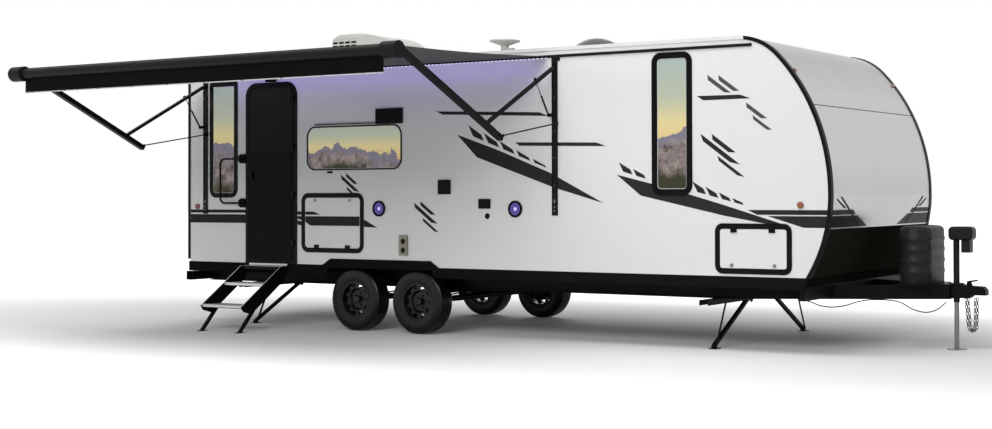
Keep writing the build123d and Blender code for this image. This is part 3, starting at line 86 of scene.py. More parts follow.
# %% Camera solved from the photograph
def photograph_camera():
    """Camera at the photograph's own viewpoint, for a frame 992 pixels wide."""
    yaw, pitch, roll = (math.radians(a) for a in (28.935, -0.871, -0.236))
    forward = Vector((-math.sin(yaw), math.cos(yaw), 0.0)) * math.cos(pitch)
    forward.z = -math.sin(pitch)
    right = Vector((math.cos(yaw), math.sin(yaw), 0.0))
    up = right.cross(forward)
    cos, sin = math.cos(roll), math.sin(roll)
    right, up = right * cos + up * sin, up * cos - right * sin
    data = bpy.data.cameras.new("photograph_camera")
    data.sensor_width = 36.0
    data.lens = 1445.04 * data.sensor_width / 992
    data.shift_x, data.shift_y = -0.2223, -0.0457
    data.clip_end = 200.0
    camera = bpy.data.objects.new("photograph_camera", data)
    turn = Matrix((right, up, -forward)).transposed().to_4x4()
    camera.matrix_world = Matrix.Translation((4.484, -12.642, 1.454)) @ turn
    bpy.context.scene.collection.objects.link(camera)
    bpy.context.scene.camera = camera


photograph_camera()

# %% [markdown]
# ## Helpers for meshes
# Each piece starts as an empty bmesh, gets its shape from bmesh operators, and is then stored as an
# object at the origin that rides on one body of the frame.


# %% Store a finished bmesh as a piece
def store(bm, name, materials, body="root", smooth_deg=None):
    """Turn a bmesh into an object at the origin that rides on a body of the frame."""
    bmesh.ops.recalc_face_normals(bm, faces=bm.faces)
    mesh = bpy.data.meshes.new(name)
    bm.to_mesh(mesh)
    bm.free()
    for material in materials if isinstance(materials, (list, tuple)) else [materials]:
        mesh.materials.append(material)
    if smooth_deg is not None:
        mesh.shade_smooth()
        mesh.set_sharp_from_angle(angle=math.radians(smooth_deg))
    piece = bpy.data.objects.new(name, mesh)
    bpy.context.scene.collection.objects.link(piece)
    if body is not None:
        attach(piece, body)
    print("piece", name, len(mesh.polygons), "faces")
    return piece


def facing_y(centre):
    """Place for a round shape whose axis is along Y."""
    return Matrix.Translation(centre) @ Matrix.Rotation(math.pi / 2, 4, "X")


def points_of(made):
    """Vertices among the things that an operator has made."""
    return [v for v in made["geom"] if isinstance(v, bmesh.types.BMVert)]


def edges_of(verts):
    """Edges at any of some vertices."""
    return list({e for v in verts for e in v.link_edges})


def add_box(bm, low, high, turn=None):
    """Box from its lowest to its highest corner, turned about its middle if asked."""
    low, high = Vector(low), Vector(high)
    middle = Matrix.Translation((low + high) / 2)
    size = Matrix.Diagonal((*(high - low), 1.0))
    bmesh.ops.create_cube(bm, size=1.0, matrix=middle @ (turn or Matrix.Identity(4)) @ size)


def add_disc(bm, centre, r1, r2, depth, segments):
    """Disc or cone about Y, closed at both ends, with radius r2 at its outer end."""
    place = facing_y(centre)
    bmesh.ops.create_cone(
        bm, cap_ends=True, segments=segments, radius1=r1, radius2=r2, depth=depth, matrix=place
    )


def add_plate(bm, outline, y0, y1, material=0):
    """Flat plate in the XZ plane from its outline, with its faces at y0 and y1."""
    face = bm.faces.new([bm.verts.new((x, y0, z)) for x, z in outline])
    moved = points_of(bmesh.ops.extrude_face_region(bm, geom=[face]))
    bmesh.ops.translate(bm, verts=moved, vec=(0.0, y1 - y0, 0.0))
    for f in {f for v in moved for f in v.link_faces} | {face}:
        f.material_index = material


def spin_round(bm, verts, edges, centre, axis, steps):
    """Turn a profile once round an axis into a closed ring."""
    bmesh.ops.spin(
        bm, geom=verts + edges, cent=centre, axis=axis, angle=2 * math.pi, steps=steps, use_merge=True
    )


# %% [markdown]
# ## Shared finish
# Paint, plastic and metal are never perfectly even. One node group turns a colour and a roughness into
# slightly uneven ones and adds a fine grain, and each material gives it its own amounts.


# %% Node helpers
def add_node(tree, kind, inputs, **settings):
    """Shader node with its settings, whose inputs get a plain value or a link from a socket."""
    node = tree.nodes.new(f"ShaderNode{kind}")
    for setting, value in settings.items():
        setattr(node, setting, value)
    for socket, value in inputs.items():
        if isinstance(value, bpy.types.NodeSocket):
            tree.links.new(value, node.inputs[socket])
        else:
            node.inputs[socket].default_value = value
    return node


def math_node(tree, operation, a, b, clamp=False):
    """Math node whose two inputs are sockets or numbers."""
    return add_node(tree, "Math", {0: a, 1: b}, operation=operation, use_clamp=clamp).outputs[0]


def mix_colour(tree, factor, a, b):
    """Colour mix whose factor and colours are sockets or plain values."""
    factor_in, a_in, b_in, colour_out = 0, 6, 7, 2
    a, b = ((*c, 1.0) if isinstance(c, tuple) else c for c in (a, b))
    inputs = {factor_in: factor, a_in: a, b_in: b}
    return add_node(tree, "Mix", inputs, data_type="RGBA").outputs[colour_out]


def noise_texture(tree, vector, scale, detail=3.0, roughness=0.55):
    """Noise whose value is between 0 and 1."""
    inputs = {"Vector": vector, "Scale": scale, "Detail": detail, "Roughness": roughness}
    return add_node(tree, "TexNoise", inputs).outputs["Fac"]


def bump_normal(tree, height, strength, distance):
    """Normal of a surface that a height presses in or out."""
    inputs = {"Height": height, "Strength": strength, "Distance": distance}
    return add_node(tree, "Bump", inputs).outputs["Normal"]


def map_range(tree, value, low, high, smooth=False):
    """Value between low and high as 0 to 1, clamped, and with soft ends if asked."""
    kind = "SMOOTHERSTEP" if smooth else "LINEAR"
    inputs = {"Value": value, "From Min": low, "From Max": high}
    return add_node(tree, "MapRange", inputs, interpolation_type=kind).outputs["Result"]


def colour_ramp(tree, factor, stops):
    """Colour ramp from a list of places and colours."""
    node = add_node(tree, "ValToRGB", {"Fac": factor})
    ramp = node.color_ramp
    while len(ramp.elements) < len(stops):
        ramp.elements.new(0.5)
    for element, (place, colour) in zip(ramp.elements, stops):
        element.position = place
        element.color = (*colour, 1.0)
    return node.outputs["Color"]


def object_place(tree):
    """Socket with the surface's own place in the frame, in metres."""
    return tree.nodes.new("ShaderNodeTexCoord").outputs["Object"]


def object_height(tree):
    """Socket with the height of that place."""
    return add_node(tree, "SeparateXYZ", {"Vector": object_place(tree)}).outputs["Z"]


# %% Node group for an uneven finish
def finish_group():
    """Uneven finish: blotches of tint, uneven roughness and a fine grain."""
    group = bpy.data.node_groups.new("uneven_finish", "ShaderNodeTree")
    for way, socket, kind in (
        *(("INPUT", "Vector", "Vector"), ("INPUT", "Color", "Color"), ("INPUT", "Roughness", "Float")),
        *(("INPUT", name, "Float") for name in ("Blotch Scale", "Blotch", "Spread", "Grain Scale", "Grain")),
        *(("OUTPUT", "Color", "Color"), ("OUTPUT", "Roughness", "Float"), ("OUTPUT", "Normal", "Vector")),
    ):
        group.interface.new_socket(name=socket, in_out=way, socket_type=f"NodeSocket{kind}")
    start = group.nodes.new("NodeGroupInput").outputs
    end = group.nodes.new("NodeGroupOutput").inputs
    blotch = noise_texture(group, start["Vector"], start["Blotch Scale"])
    centred = math_node(group, "SUBTRACT", blotch, 0.5)
    lifted = math_node(group, "ADD", centred, 0.5)
    darker = math_node(group, "MULTIPLY", lifted, start["Blotch"])
    uneven = math_node(group, "MULTIPLY", centred, start["Spread"])
    rough = math_node(group, "ADD", start["Roughness"], uneven, clamp=True)
    grain = noise_texture(group, start["Vector"], start["Grain Scale"], detail=2.0)
    group.links.new(mix_colour(group, darker, start["Color"], (0.0, 0.0, 0.0)), end["Color"])
    group.links.new(rough, end["Roughness"])
    group.links.new(bump_normal(group, grain, start["Grain"], 0.0006), end["Normal"])
    return group


uneven_finish = finish_group()


# %% [markdown]
# A material is a Principled shader fed by that group. What is the same all over, such as the metallic or
# the coat, is set on the shader's own sockets.


# %% Material maker
def shader_of(material):
    """The Principled shader of a material."""
    return material.node_tree.nodes["Principled BSDF"]


def finish(
    name, colour, roughness, blotch=0.05, spread=0.08, grain=0.06, blotches=3.0, grains=300.0,
    specular=0.5, metallic=0.0, coat=0.0,
):
    """Principled material whose colour, roughness and normal come from the uneven finish."""
    material = bpy.data.materials.new(name)
    material.use_nodes = True
    tree = material.node_tree
    shader = shader_of(material)
    uneven = {"Vector": object_place(tree), "Color": (*colour, 1.0), "Roughness": roughness}
    uneven |= {"Blotch": blotch, "Blotch Scale": blotches, "Spread": spread}
    uneven |= {"Grain": grain, "Grain Scale": grains}
    group = add_node(tree, "Group", uneven, node_tree=uneven_finish, name="finish")
    for made, used in (("Color", "Base Color"), ("Roughness", "Roughness"), ("Normal", "Normal")):
        tree.links.new(group.outputs[made], shader.inputs[used])
    levels = (("Specular IOR Level", specular), ("Metallic", metallic), ("Coat Weight", coat))
    for socket, value in levels:
        shader.inputs[socket].default_value = value
    return material


# %% [markdown]
# ## Plain finishes
# Most of the caravan wears one of a few finishes. Blacks are kept above zero so that their form reads.

# %% Plain materials
dull, faint = 0.02, 0.06  # specular levels that keep blacks deep against a white studio
wall_white = finish(
    "wall_white", (0.68, 0.68, 0.67), 0.26, blotch=0.04, grain=0.03, blotches=0.8, coat=0.2
)
moulding_black = finish("moulding_black", (0.006, 0.006, 0.007), 0.30, blotch=0.2, specular=faint)
frame_black = finish(
    "frame_black", (0.004, 0.004, 0.005), 0.25, blotch=0.2, grain=0.05, specular=faint
)
decal_charcoal = finish(
    "decal_charcoal", (0.026, 0.028, 0.025), 0.36, blotch=0.1, grain=0.02, specular=dull
)
decal_grey = finish(
    "decal_grey", (0.075, 0.077, 0.075), 0.36, blotch=0.1, grain=0.02, specular=dull
)
pearl_line = finish("pearl_line", (0.70, 0.71, 0.71), 0.3, blotch=0.05, grain=0.02)
steel_black = finish(
    "steel_black", (0.005, 0.005, 0.005), 0.40, blotch=0.3, spread=0.15, grain=0.12,
    blotches=6.0, specular=faint
)
awning_black = finish(
    "awning_black", (0.010, 0.010, 0.011), 0.34, blotch=0.2, spread=0.12, grain=0.08,
    blotches=5.0, specular=faint
)
sheet_black = finish(
    "sheet_black", (0.010, 0.010, 0.009), 0.45, blotch=0.2, spread=0.10, grain=0.04,
    blotches=2.0, specular=0.0
)
# The front lower panel has no specular, and its warm olive tint is a painted reflection in its place
panel_black_painted_sheen = finish(
    "panel_black_painted_sheen", (0.019, 0.018, 0.014), 0.4, blotch=0.35, grain=0.03, blotches=1.2,
    specular=0.0
)
jack_black = finish(
    "jack_black", (0.008, 0.008, 0.009), 0.38, grain=0.2, grains=420.0, specular=0.12
)
cover_black = finish(
    "cover_black", (0.014, 0.015, 0.015), 0.42, grain=0.35, grains=500.0, specular=0.14
)
zinc = finish(
    "zinc", (0.23, 0.24, 0.23), 0.40, blotch=0.25, spread=0.25, grain=0.1, blotches=40.0,
    metallic=0.9
)
chain_steel = finish(
    "chain_steel", (0.12, 0.12, 0.115), 0.35, blotch=0.3, spread=0.3, grain=0.2, blotches=60.0,
    metallic=0.9
)
aluminium = finish(
    "aluminium", (0.58, 0.59, 0.60), 0.38, blotch=0.1, spread=0.15, grain=0.1, blotches=20.0,
    metallic=0.9
)
rubber = finish(
    "rubber", (0.004, 0.004, 0.004), 0.30, blotch=0.25, spread=0.2, grain=0.2, blotches=14.0,
    specular=0.22
)
cable_rubber = finish("cable_rubber", (0.006, 0.006, 0.006), 0.5, grain=0.2, specular=faint)
rim_black = finish("rim_black", (0.006, 0.006, 0.007), 0.26, blotch=0.15, specular=0.25)
roof_white = finish(
    "roof_white", (0.68, 0.68, 0.67), 0.6, blotch=0.12, grain=0.25, blotches=2.5,
    grains=120.0
)
vent_grey = finish("vent_grey", (0.07, 0.07, 0.07), 0.30, blotch=0.08, grain=0.05)
shell_grey = finish(
    "shell_grey", (0.50, 0.50, 0.47), 0.5, blotch=0.12, grain=0.15, blotches=4.0
)
# Near-black that paints the shade inside the air conditioner's louvres, and the dark face of the outlet
# sockets
louvre_shade_and_socket_black = finish("louvre_shade_and_socket_black", (0.003, 0.003, 0.003), 0.6, grain=0.1, specular=dull)
outlet_beige = finish("outlet_beige", (0.24, 0.23, 0.17), 0.45, grain=0.1)
floor_board = finish(
    "floor_board", (0.30, 0.25, 0.20), 0.6, blotch=0.25, grain=0.2, blotches=8.0
)
lens_orange = finish(
    "lens_orange", (0.24, 0.075, 0.020), 0.18, blotch=0.3, blotches=60.0, coat=0.3
)
lens_red = finish("lens_red", (0.20, 0.010, 0.010), 0.18, blotch=0.3, blotches=60.0, coat=0.3)

# %% [markdown]
# ## Front cap
# The moulded cap is silver paint, partly metallic under a clear coat. Its colour carries painted light and
# shade by height: palest a little above its foot and darker towards its crown.


# %% Cap paint
def faded(material, low, high, stops):
    """Give a finish a colour that fades between two heights."""
    tree = material.node_tree
    fade = colour_ramp(tree, map_range(tree, object_height(tree), low, high), stops)
    tree.links.new(fade, tree.nodes["finish"].inputs["Color"])
    return material


# Heights between which the cap's painted highlight and shade fade
cap_foot, cap_crown = 1.1, 2.85
cap_silver = faded(
    finish("cap_silver", (0.4, 0.4, 0.4), 0.30, blotch=0.06, grain=0.04, metallic=0.5, coat=0.3),
    cap_foot,
    cap_crown,
    [
        *((0.0, (0.48, 0.48, 0.49)), (0.35, (0.68, 0.68, 0.69))),
        *((0.7, (0.60, 0.60, 0.60)), (1.0, (0.26, 0.26, 0.25))),
    ],
)

# %% [markdown]
# ## Tinted glass
# The side windows are mirrored glass with a painted reflection of a landscape, not the cabin. It is a fade
# by height with an uneven horizon from noise, and it also glows a little as painted light. The door's glass
# is nearly black, with a painted reflection of the sky as a faintly lighter upper part.


# %% Window and door glass
def mirrored_glass(name, low, high, relief):
    """Mirrored glass with a painted, glowing reflection of a pale sky above an uneven horizon, between two
    heights.
    """
    material = finish(
        name, (0.3, 0.3, 0.3), 0.05, blotch=0.02, spread=0.02, grain=0.0, specular=0.1
    )
    tree = material.node_tree
    place = object_place(tree)
    ridge = noise_texture(tree, place, 2.1, detail=7.0, roughness=0.6)
    uneven = math_node(tree, "MULTIPLY", math_node(tree, "SUBTRACT", ridge, 0.5), relief)
    height = map_range(tree, object_height(tree), low, high)
    shifted = math_node(tree, "ADD", height, uneven)
    sky = colour_ramp(
        tree,
        height,
        [
            *((0.3, (0.72, 0.50, 0.22)), (0.52, (0.70, 0.60, 0.30))),
            *((0.70, (0.46, 0.50, 0.38)), (1.0, (0.38, 0.45, 0.43))),
        ],
    )
    scrub = noise_texture(tree, place, 9.0, detail=9.0, roughness=0.75)
    rock = colour_ramp(
        tree,
        scrub,
        [(0.36, (0.035, 0.030, 0.028)), (0.48, (0.20, 0.165, 0.155)), (0.62, (0.36, 0.30, 0.28))],
    )
    brush = mix_colour(tree, map_range(tree, shifted, 0.06, 0.16), (0.045, 0.045, 0.025), rock)
    far = mix_colour(tree, map_range(tree, shifted, 0.30, 0.44), brush, (0.20, 0.19, 0.24))
    edge = map_range(tree, shifted, 0.475, 0.482)
    painted_reflection = mix_colour(tree, edge, far, sky)
    darkened = mix_colour(tree, 0.6, painted_reflection, (0.0, 0.0, 0.0))
    tree.links.new(darkened, tree.nodes["finish"].inputs["Color"])
    # The painted reflection is also given off as light, so the windows glow though they are no lamps
    tree.links.new(painted_reflection, shader_of(material).inputs["Emission Color"])
    shader_of(material).inputs["Emission Strength"].default_value = 0.62
    return material


glass_tall = mirrored_glass("glass_tall", 1.45, 2.68, 0.75)
glass_wide = mirrored_glass("glass_wide", 1.62, 2.24, 1.25)
door_low, door_high = 0.7, 2.6
# Near-black below a sharp line and faintly lighter olive above it: the upper part is a painted reflection of
# the sky
door_glass = faded(
    finish(
        "door_glass", (0.01, 0.01, 0.01), 0.30, blotch=0.05, spread=0.02, grain=0.0, specular=0.04
    ),
    door_low,
    door_high,
    [
        *((0.0, (0.002, 0.002, 0.002)), (0.62, (0.003, 0.003, 0.003))),
        *((0.64, (0.010, 0.011, 0.008)), (1.0, (0.016, 0.018, 0.012))),
    ],
)

# %% [markdown]
# ## Cloth and light
# Awning cloth is a coated weave: two crossed waves of threads make its bump. The lamps along the awning rail
# are a pale violet, and the speakers' lit rings glow in a deeper one. The speakers' cones and dust caps glow
# too, as painted light, though they are no lamps.


# %% Awning cloth
def woven_cloth(name, shade):
    """Coated cloth of one grey, with a fine weave in the plane of the awning."""
    material = finish(
        name, (shade, shade, shade), 0.62, blotch=0.15, grain=0.1, blotches=1.5, specular=0.03
    )
    tree = material.node_tree
    inputs = {"Vector": object_place(tree), "Scale": 180.0}
    warp, weft = (add_node(tree, "TexWave", inputs, bands_direction=d).outputs["Fac"] for d in "XY")
    normal = bump_normal(tree, math_node(tree, "MULTIPLY", warp, weft), 0.15, 0.0005)
    tree.links.new(normal, shader_of(material).inputs["Normal"])
    return material


def glow(name, colour, strength):
    """Surface that gives light of one colour, for lamps and for painted light on parts that are no lamps."""
    material = finish(name, colour, 0.3, grain=0.0)
    shader = shader_of(material)
    shader.inputs["Emission Color"].default_value = (*colour, 1.0)
    shader.inputs["Emission Strength"].default_value = strength
    return material


awning_cloth = woven_cloth("awning_cloth", 0.11)
valance_cloth = woven_cloth("valance_cloth", 0.003)
lamp_glow = glow("lamp_glow", (0.80, 0.76, 1.0), 3.0)
ring_glow = glow("ring_glow", (0.10, 0.07, 0.42), 0.40)
# The dust caps and cones are no lamps: their glow is painted light
dust_cap_painted_light = glow("dust_cap_painted_light", (0.42, 0.36, 0.80), 0.8)
speaker_cone_painted_light = glow("speaker_cone_painted_light", (0.02, 0.014, 0.10), 0.6)

# %% [markdown]
# ## Dress the CAD solids
# Every solid keeps its mesh and gets its finish. Where a node holds pieces of different finishes, each
# face picks its material by where its middle lies.


# %% Dress each node
ends, sides = ("front", "rear"), ("left", "right")
plain_dress = {
    wall_white: ("left_wall", "right_wall", "rear_wall"),
    cap_silver: ("front_cap",),
    sheet_black: ("skirts",),
    panel_black_painted_sheen: ("front_lower_panel",),
    frame_black: (
        *("window_frames", "luggage_door_frames", "entry_door_frame", "entry_door_leaf"),
        *("wall_fittings", "entry_step_treads", "grab_handle"),
    ),
    steel_black: (
        *("chassis", "axles", "leaf_springs", "coupler", "stabiliser_channels", "entry_step_frame"),
        *(f"{end}_{side}_stabiliser_leg" for end in ends for side in sides),
        *(f"{end}_{side}_stabiliser_brace" for end in ends for side in sides),
    ),
    awning_black: (
        *("awning_rail_and_channels", "awning_links", "awning_arms"),
        *("awning_roller", "awning_lower_rods", "awning_struts"),
    ),
    awning_cloth: ("awning_fabric",),
    valance_cloth: ("awning_valance",),
    jack_black: ("tongue_jack_body",),
    cover_black: ("gas_bottle_cover",),
    zinc: ("tongue_jack_leg", "safety_chains"),
    rubber: tuple(f"{side}_{end}_tyre" for side in sides for end in ends),
    rim_black: tuple(f"{side}_{end}_rim" for side in sides for end in ends),
    cable_rubber: ("tongue_cable",),
    roof_white: ("roof",),
    door_glass: ("entry_door_glass",),
}
for material, names in plain_dress.items():
    for name in names:
        cad_nodes[name].data.materials.clear()
        cad_nodes[name].data.materials.append(material)


def dress_by_place(name, materials, choose):
    """Give each face of a node the material that choose picks from the face's middle and normal."""
    mesh = cad_nodes[name].data
    mesh.materials.clear()
    for material in materials:
        mesh.materials.append(material)
    for polygon in mesh.polygons:
        polygon.material_index = choose(polygon.center, polygon.normal)


ac_low, ac_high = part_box("air_conditioner")
louvre_in, louvre_depth = 0.0005, 0.0145


def in_louvre(c, n):
    """Whether a face of the air conditioner lies inside one of its louvres, where the shade is painted
    near-black.
    """
    in_side = ac_high.y - louvre_depth < abs(c.y) < ac_high.y - louvre_in
    side_slot = in_side and c.x < ac_low.x + 0.40 and c.z < ac_high.z - 0.05
    in_rear = ac_low.x + 0.020 < c.x < ac_low.x + 0.030
    rear_slot = in_rear and abs(c.y) < 0.30 and c.z < ac_high.z - 0.10
    return int(side_slot or rear_slot)


def luggage_leaf(hinge_z, hinge_below):
    """Choice for a luggage door: its white leaf, its black hinge and its zinc latches."""
    leaf, hinge, latch = 0, 1, 2
    proud = leaf_face + 0.0005
    return lambda c, n: leaf if abs(c.y) < proud else hinge if (c.z < hinge_z) == hinge_below else latch


wide_window_x = (-6.9, -5.4)
rear_lamps_x, outlet_top, roof_edge_z, cap_joint_x, antenna_x = -8.0, 1.1, 2.79, -1.55, -4.3
placed_dress = {
    "window_glass": (
        (glass_tall, glass_wide),
        lambda c, n: int(wide_window_x[0] < c.x < wide_window_x[1]),
    ),
    "lamps": ((lens_orange, lens_red), lambda c, n: int(c.x < rear_lamps_x)),
    "speakers_and_outlet": ((frame_black, outlet_beige), lambda c, n: int(c.z < outlet_top)),
    "floor": ((sheet_black, floor_board), lambda c, n: int(n.z > 0.5)),
    "corner_mouldings": (
        (moulding_black, roof_white),
        lambda c, n: int(c.z > roof_edge_z and c.x < cap_joint_x),
    ),
    "roof_vents_and_antenna": ((vent_grey, shell_grey), lambda c, n: int(c.x < antenna_x)),
    # The faces inside the louvres get painted shade
    "air_conditioner": ((shell_grey, louvre_shade_and_socket_black), in_louvre),
    "rear_luggage_door": ((wall_white, frame_black, zinc), luggage_leaf(0.93, True)),
    "front_luggage_door": ((wall_white, frame_black, zinc), luggage_leaf(1.04, False)),
    "road_luggage_door": ((wall_white, frame_black, zinc), luggage_leaf(1.04, False)),
}
for name, (materials, choose) in placed_dress.items():
    dress_by_place(name, materials, choose)

# %% [markdown]
# ## Stripes on the walls
# The graphics are film cut to long blades and bars, with small groups of slanted blades between them.
# Each is a flat plate half a millimetre thick, and the bars on the luggage door ride on that door.

# %% Outlines of the stripes as x and z
wall_stripes = (
    ((-8.622, 1.237), (-7.756, 1.237), (-7.756, 1.272), (-8.622, 1.272)),
    ((-8.622, 1.125), (-7.756, 1.125), (-7.756, 1.220), (-8.622, 1.220)),
    ((-6.983, 1.220), (-6.918, 1.220), (-6.918, 1.254), (-6.983, 1.254)),
    ((-6.983, 1.112), (-6.918, 1.103), (-6.918, 1.148), (-6.983, 1.158)),
    ((-6.983, 1.176), (-6.918, 1.163), (-6.918, 1.204), (-6.983, 1.204)),
    ((-6.038, 1.096), (-5.852, 1.089), (-6.038, 1.174)),
    (
        *((-4.803, 2.032), (-4.552, 1.799), (-3.620, 1.495)),
        *((-3.046, 1.343), (-3.666, 1.638), (-4.284, 1.865)),
    ),
    (
        *((-2.903, 1.613), (-2.639, 1.416), (-1.751, 1.232), (-1.367, 1.168)),
        *((-1.073, 1.134), (-1.760, 1.330), (-2.300, 1.475)),
    ),
    ((-5.078, 2.274), (-4.985, 2.238), (-3.685, 2.187), (-3.790, 2.226)),
    ((-4.082, 1.940), (-4.030, 1.905), (-3.022, 1.883), (-3.130, 1.920)),
    ((-2.034, 2.321), (-1.965, 2.279), (-1.477, 2.281), (-1.590, 2.318)),
    ((-1.515, 1.285), (-1.420, 1.242), (-0.730, 1.242), (-0.724, 1.285)),
    ((-1.317, 1.232), (-0.964, 1.130), (-0.744, 1.130), (-0.732, 1.232)),
)
door_stripes = (
    ((-6.862, 1.220), (-6.647, 1.220), (-6.742, 1.254), (-6.862, 1.254)),
    ((-6.862, 1.146), (-6.792, 1.104), (-6.094, 1.104), (-6.094, 1.204), (-6.862, 1.204)),
)


def blades(x, z, sizes, gap=0.024, slope=-35.0):
    """Group of slim parallel blades, one below the other, each with two slanted ends."""
    along = Vector((math.cos(math.radians(slope)), math.sin(math.radians(slope))))
    across = Vector((along.y, -along.x))
    start, made = Vector((x, z)), []
    for shift, length, thick in sizes:
        a = start + along * shift
        low = a + across * thick
        corners = (a, a + along * length, low + along * (length * 0.80), low + along * (length * 0.12))
        made.append([tuple(corner) for corner in corners])
        start = start + across * (thick + gap)
    return made


def dashes(x0, z0, x1, z1, heights, lean=0.55, fill=0.72):
    """Row of leaning dashes along a sloping line, lower from one to the next."""
    made = []
    start, step = Vector((x0, z0)), (Vector((x1, z1)) - Vector((x0, z0))) / len(heights)
    for i, height in enumerate(heights):
        a = start + step * i
        b = a + step * fill
        top = Vector((-lean * height, height))
        made.append([tuple(corner) for corner in (a, b, b + top * 0.55, a + top)])
    return made


wall_blades = [
    *blades(-6.330, 1.690, ((0.05, 0.20, 0.030), (0.0, 0.32, 0.034), (0.14, 0.22, 0.024))),
    *blades(-5.330, 1.400, ((0.06, 0.24, 0.034), (0.0, 0.38, 0.038), (0.18, 0.26, 0.026))),
    *blades(-1.960, 2.030, ((0.10, 0.30, 0.040), (0.0, 0.50, 0.042), (0.26, 0.34, 0.030))),
    *dashes(-4.60, 2.010, -3.66, 1.668, (0.115, 0.100, 0.085, 0.060, 0.040)),
    *dashes(-2.03, 1.446, -1.52, 1.320, (0.100, 0.080, 0.060, 0.040)),
    *dashes(-2.83, 1.640, -2.54, 1.560, (0.090, 0.065)),
]
grey_blades = blades(-1.890, 2.560, ((0.10, 0.26, 0.036), (0.0, 0.30, 0.036)))
grey_blades += blades(-1.560, 2.270, ((0.04, 0.26, 0.034), (0.16, 0.24, 0.028)))
# A thin pearl line follows the upper edge of the longest blade on the wall
pearl_lines = (
    (
        *((-4.795, 2.044), (-4.280, 1.877), (-3.662, 1.650)),
        *((-3.664, 1.641), (-4.282, 1.868), (-4.797, 2.035)),
    ),
)


# %% Cut and lay the stripes
def lay_film(name, groups, y, side, body="root"):
    """Film plates on a wall whose face is at y, for groups of outlines and their materials."""
    bm = bmesh.new()
    for number, (outlines, _) in enumerate(groups):
        for outline in outlines:
            add_plate(bm, outline, -side * (y + decal_lift), -side * (y + decal_lift + decal_t), number)
    store(bm, name, [material for _, material in groups], body)


for side_name, side in (("right", 1), ("left", -1)):
    # The road side has no rear luggage door, so the bars round it are left out
    stripes = wall_stripes if side == 1 else wall_stripes[:2] + wall_stripes[6:]
    films = (
        (stripes, decal_charcoal),
        (wall_blades, decal_charcoal),
        (grey_blades, decal_grey),
        (pearl_lines, pearl_line),
    )
    lay_film(f"{side_name}_wall_stripes", films, half_width, side)
lay_film("luggage_door_stripes", ((door_stripes, decal_charcoal),), leaf_face, 1, "rear_luggage_door")

# %% [markdown]
# ## Bands round the cap
# The side bands run on a little way across the cap, and a slanted blade crosses each. The film is cut
# into narrow strips by height, and its points then move out to the cap's face.


# %% Film on the cap
def cap_x(z, lift):
    """Front face of the cap at a height, moved out by lift."""
    r = nose_upper_r if z >= nose_z else nose_lower_r
    return nose_x - r + math.sqrt((r + lift) ** 2 - (z - nose_z) ** 2)


def cap_film(name, outlines, material):
    """Film from outlines in y and z and their mirror images, cut into strips and laid on the cap."""
    bm = bmesh.new()
    for outline, side in ((outline, side) for outline in outlines for side in (1, -1)):
        face = bm.faces.new([bm.verts.new((0.0, side * y, z)) for y, z in outline])
        moved = points_of(bmesh.ops.extrude_face_region(bm, geom=[face]))
        bmesh.ops.translate(bm, verts=moved, vec=(1.0, 0.0, 0.0))
    for z in (1.12 + 0.02 * i for i in range(80)):
        geom = bm.verts[:] + bm.edges[:] + bm.faces[:]
        bmesh.ops.bisect_plane(bm, geom=geom, plane_co=(0.0, 0.0, z), plane_no=(0.0, 0.0, 1.0))
    for v in bm.verts:
        v.co.x = cap_x(v.co.z, 2 * decal_lift + (decal_t if v.co.x > 0.5 else 0.0))
    store(bm, name, material)


cap_edge = 1.176
cap_bands = (
    ((-cap_edge, 1.242), (-0.66, 1.242), (-0.72, 1.285), (-cap_edge, 1.285)),
    ((-cap_edge, 1.130), (-0.36, 1.130), (-0.62, 1.232), (-cap_edge, 1.232)),
)
cap_blades = (
    ((-1.02, 1.400), (-0.98, 1.400), (-0.55, 1.140), (-0.60, 1.140)),
    ((-1.10, 1.375), (-1.085, 1.385), (-0.88, 1.300), (-0.93, 1.298)),
)
cap_film("cap_bands", cap_bands, moulding_black)
cap_film("cap_blades", cap_blades, decal_charcoal)

# %% [markdown]
# ## Seam of the cap
# The cap is moulded in two shells, and their seam is a fine dark line across it.

# %% Seam line
seam_z0, seam_z1 = 2.208, 2.214
bm = bmesh.new()
seam = ((-cap_edge, seam_z0), (cap_edge, seam_z0), (cap_edge, seam_z1), (-cap_edge, seam_z1))
add_plate(bm, seam, 0.0, 0.001)
bmesh.ops.rotate(bm, verts=bm.verts, cent=(0, 0, 0), matrix=Matrix.Rotation(math.pi / 2, 3, "Z"))
for v in bm.verts:
    v.co.x = cap_x(v.co.z, 0.0004 if v.co.x > -0.0005 else 0.0014)
store(bm, "cap_seam", moulding_black)

# %% [markdown]
# ## Awning cloth
# The cloth is stretched nearly flat between the wall and the roller, and its middle sags a little.


# %% Cloth between the wall and the roller
cloth_t = 0.0012


def cloth_grid(name, material, columns, rows, place):
    """Sheet of cloth on a grid whose points are placed by two shares from 0 to 1."""
    bm = bmesh.new()
    bmesh.ops.create_grid(bm, x_segments=columns, y_segments=rows, size=0.5)
    for v in bm.verts:
        v.co = place(v.co.x + 0.5, v.co.y + 0.5)
    piece = store(bm, name, material, None, 60)
    solid = piece.modifiers.new("thickness", "SOLIDIFY")
    solid.thickness = cloth_t
    solid.offset = 0.0
    return piece


def awning_point(u, v):
    """Point of the awning cloth: u along the caravan and v from the wall to the roller."""
    y = fabric_wall_y + v * (roller_y - fabric_wall_y)
    z = fabric_wall_z + v * (roller_z + roller_r + 0.004 - fabric_wall_z)
    sag = 0.018 * math.sin(math.pi * v) * (1.0 + 0.35 * math.sin(math.pi * u))
    return Vector((fabric_x0 + u * (fabric_x1 - fabric_x0), y, z - sag + 0.002))


awning_sheet = cloth_grid("awning_sheet", awning_cloth, 48, 30, awning_point)
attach(awning_sheet, "root")
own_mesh(awning_sheet)
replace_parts(awning_sheet, "awning_fabric")


# %% [markdown]
# The valance hangs from the roller with a pale tape sewn along its hem, and it ripples very slightly.


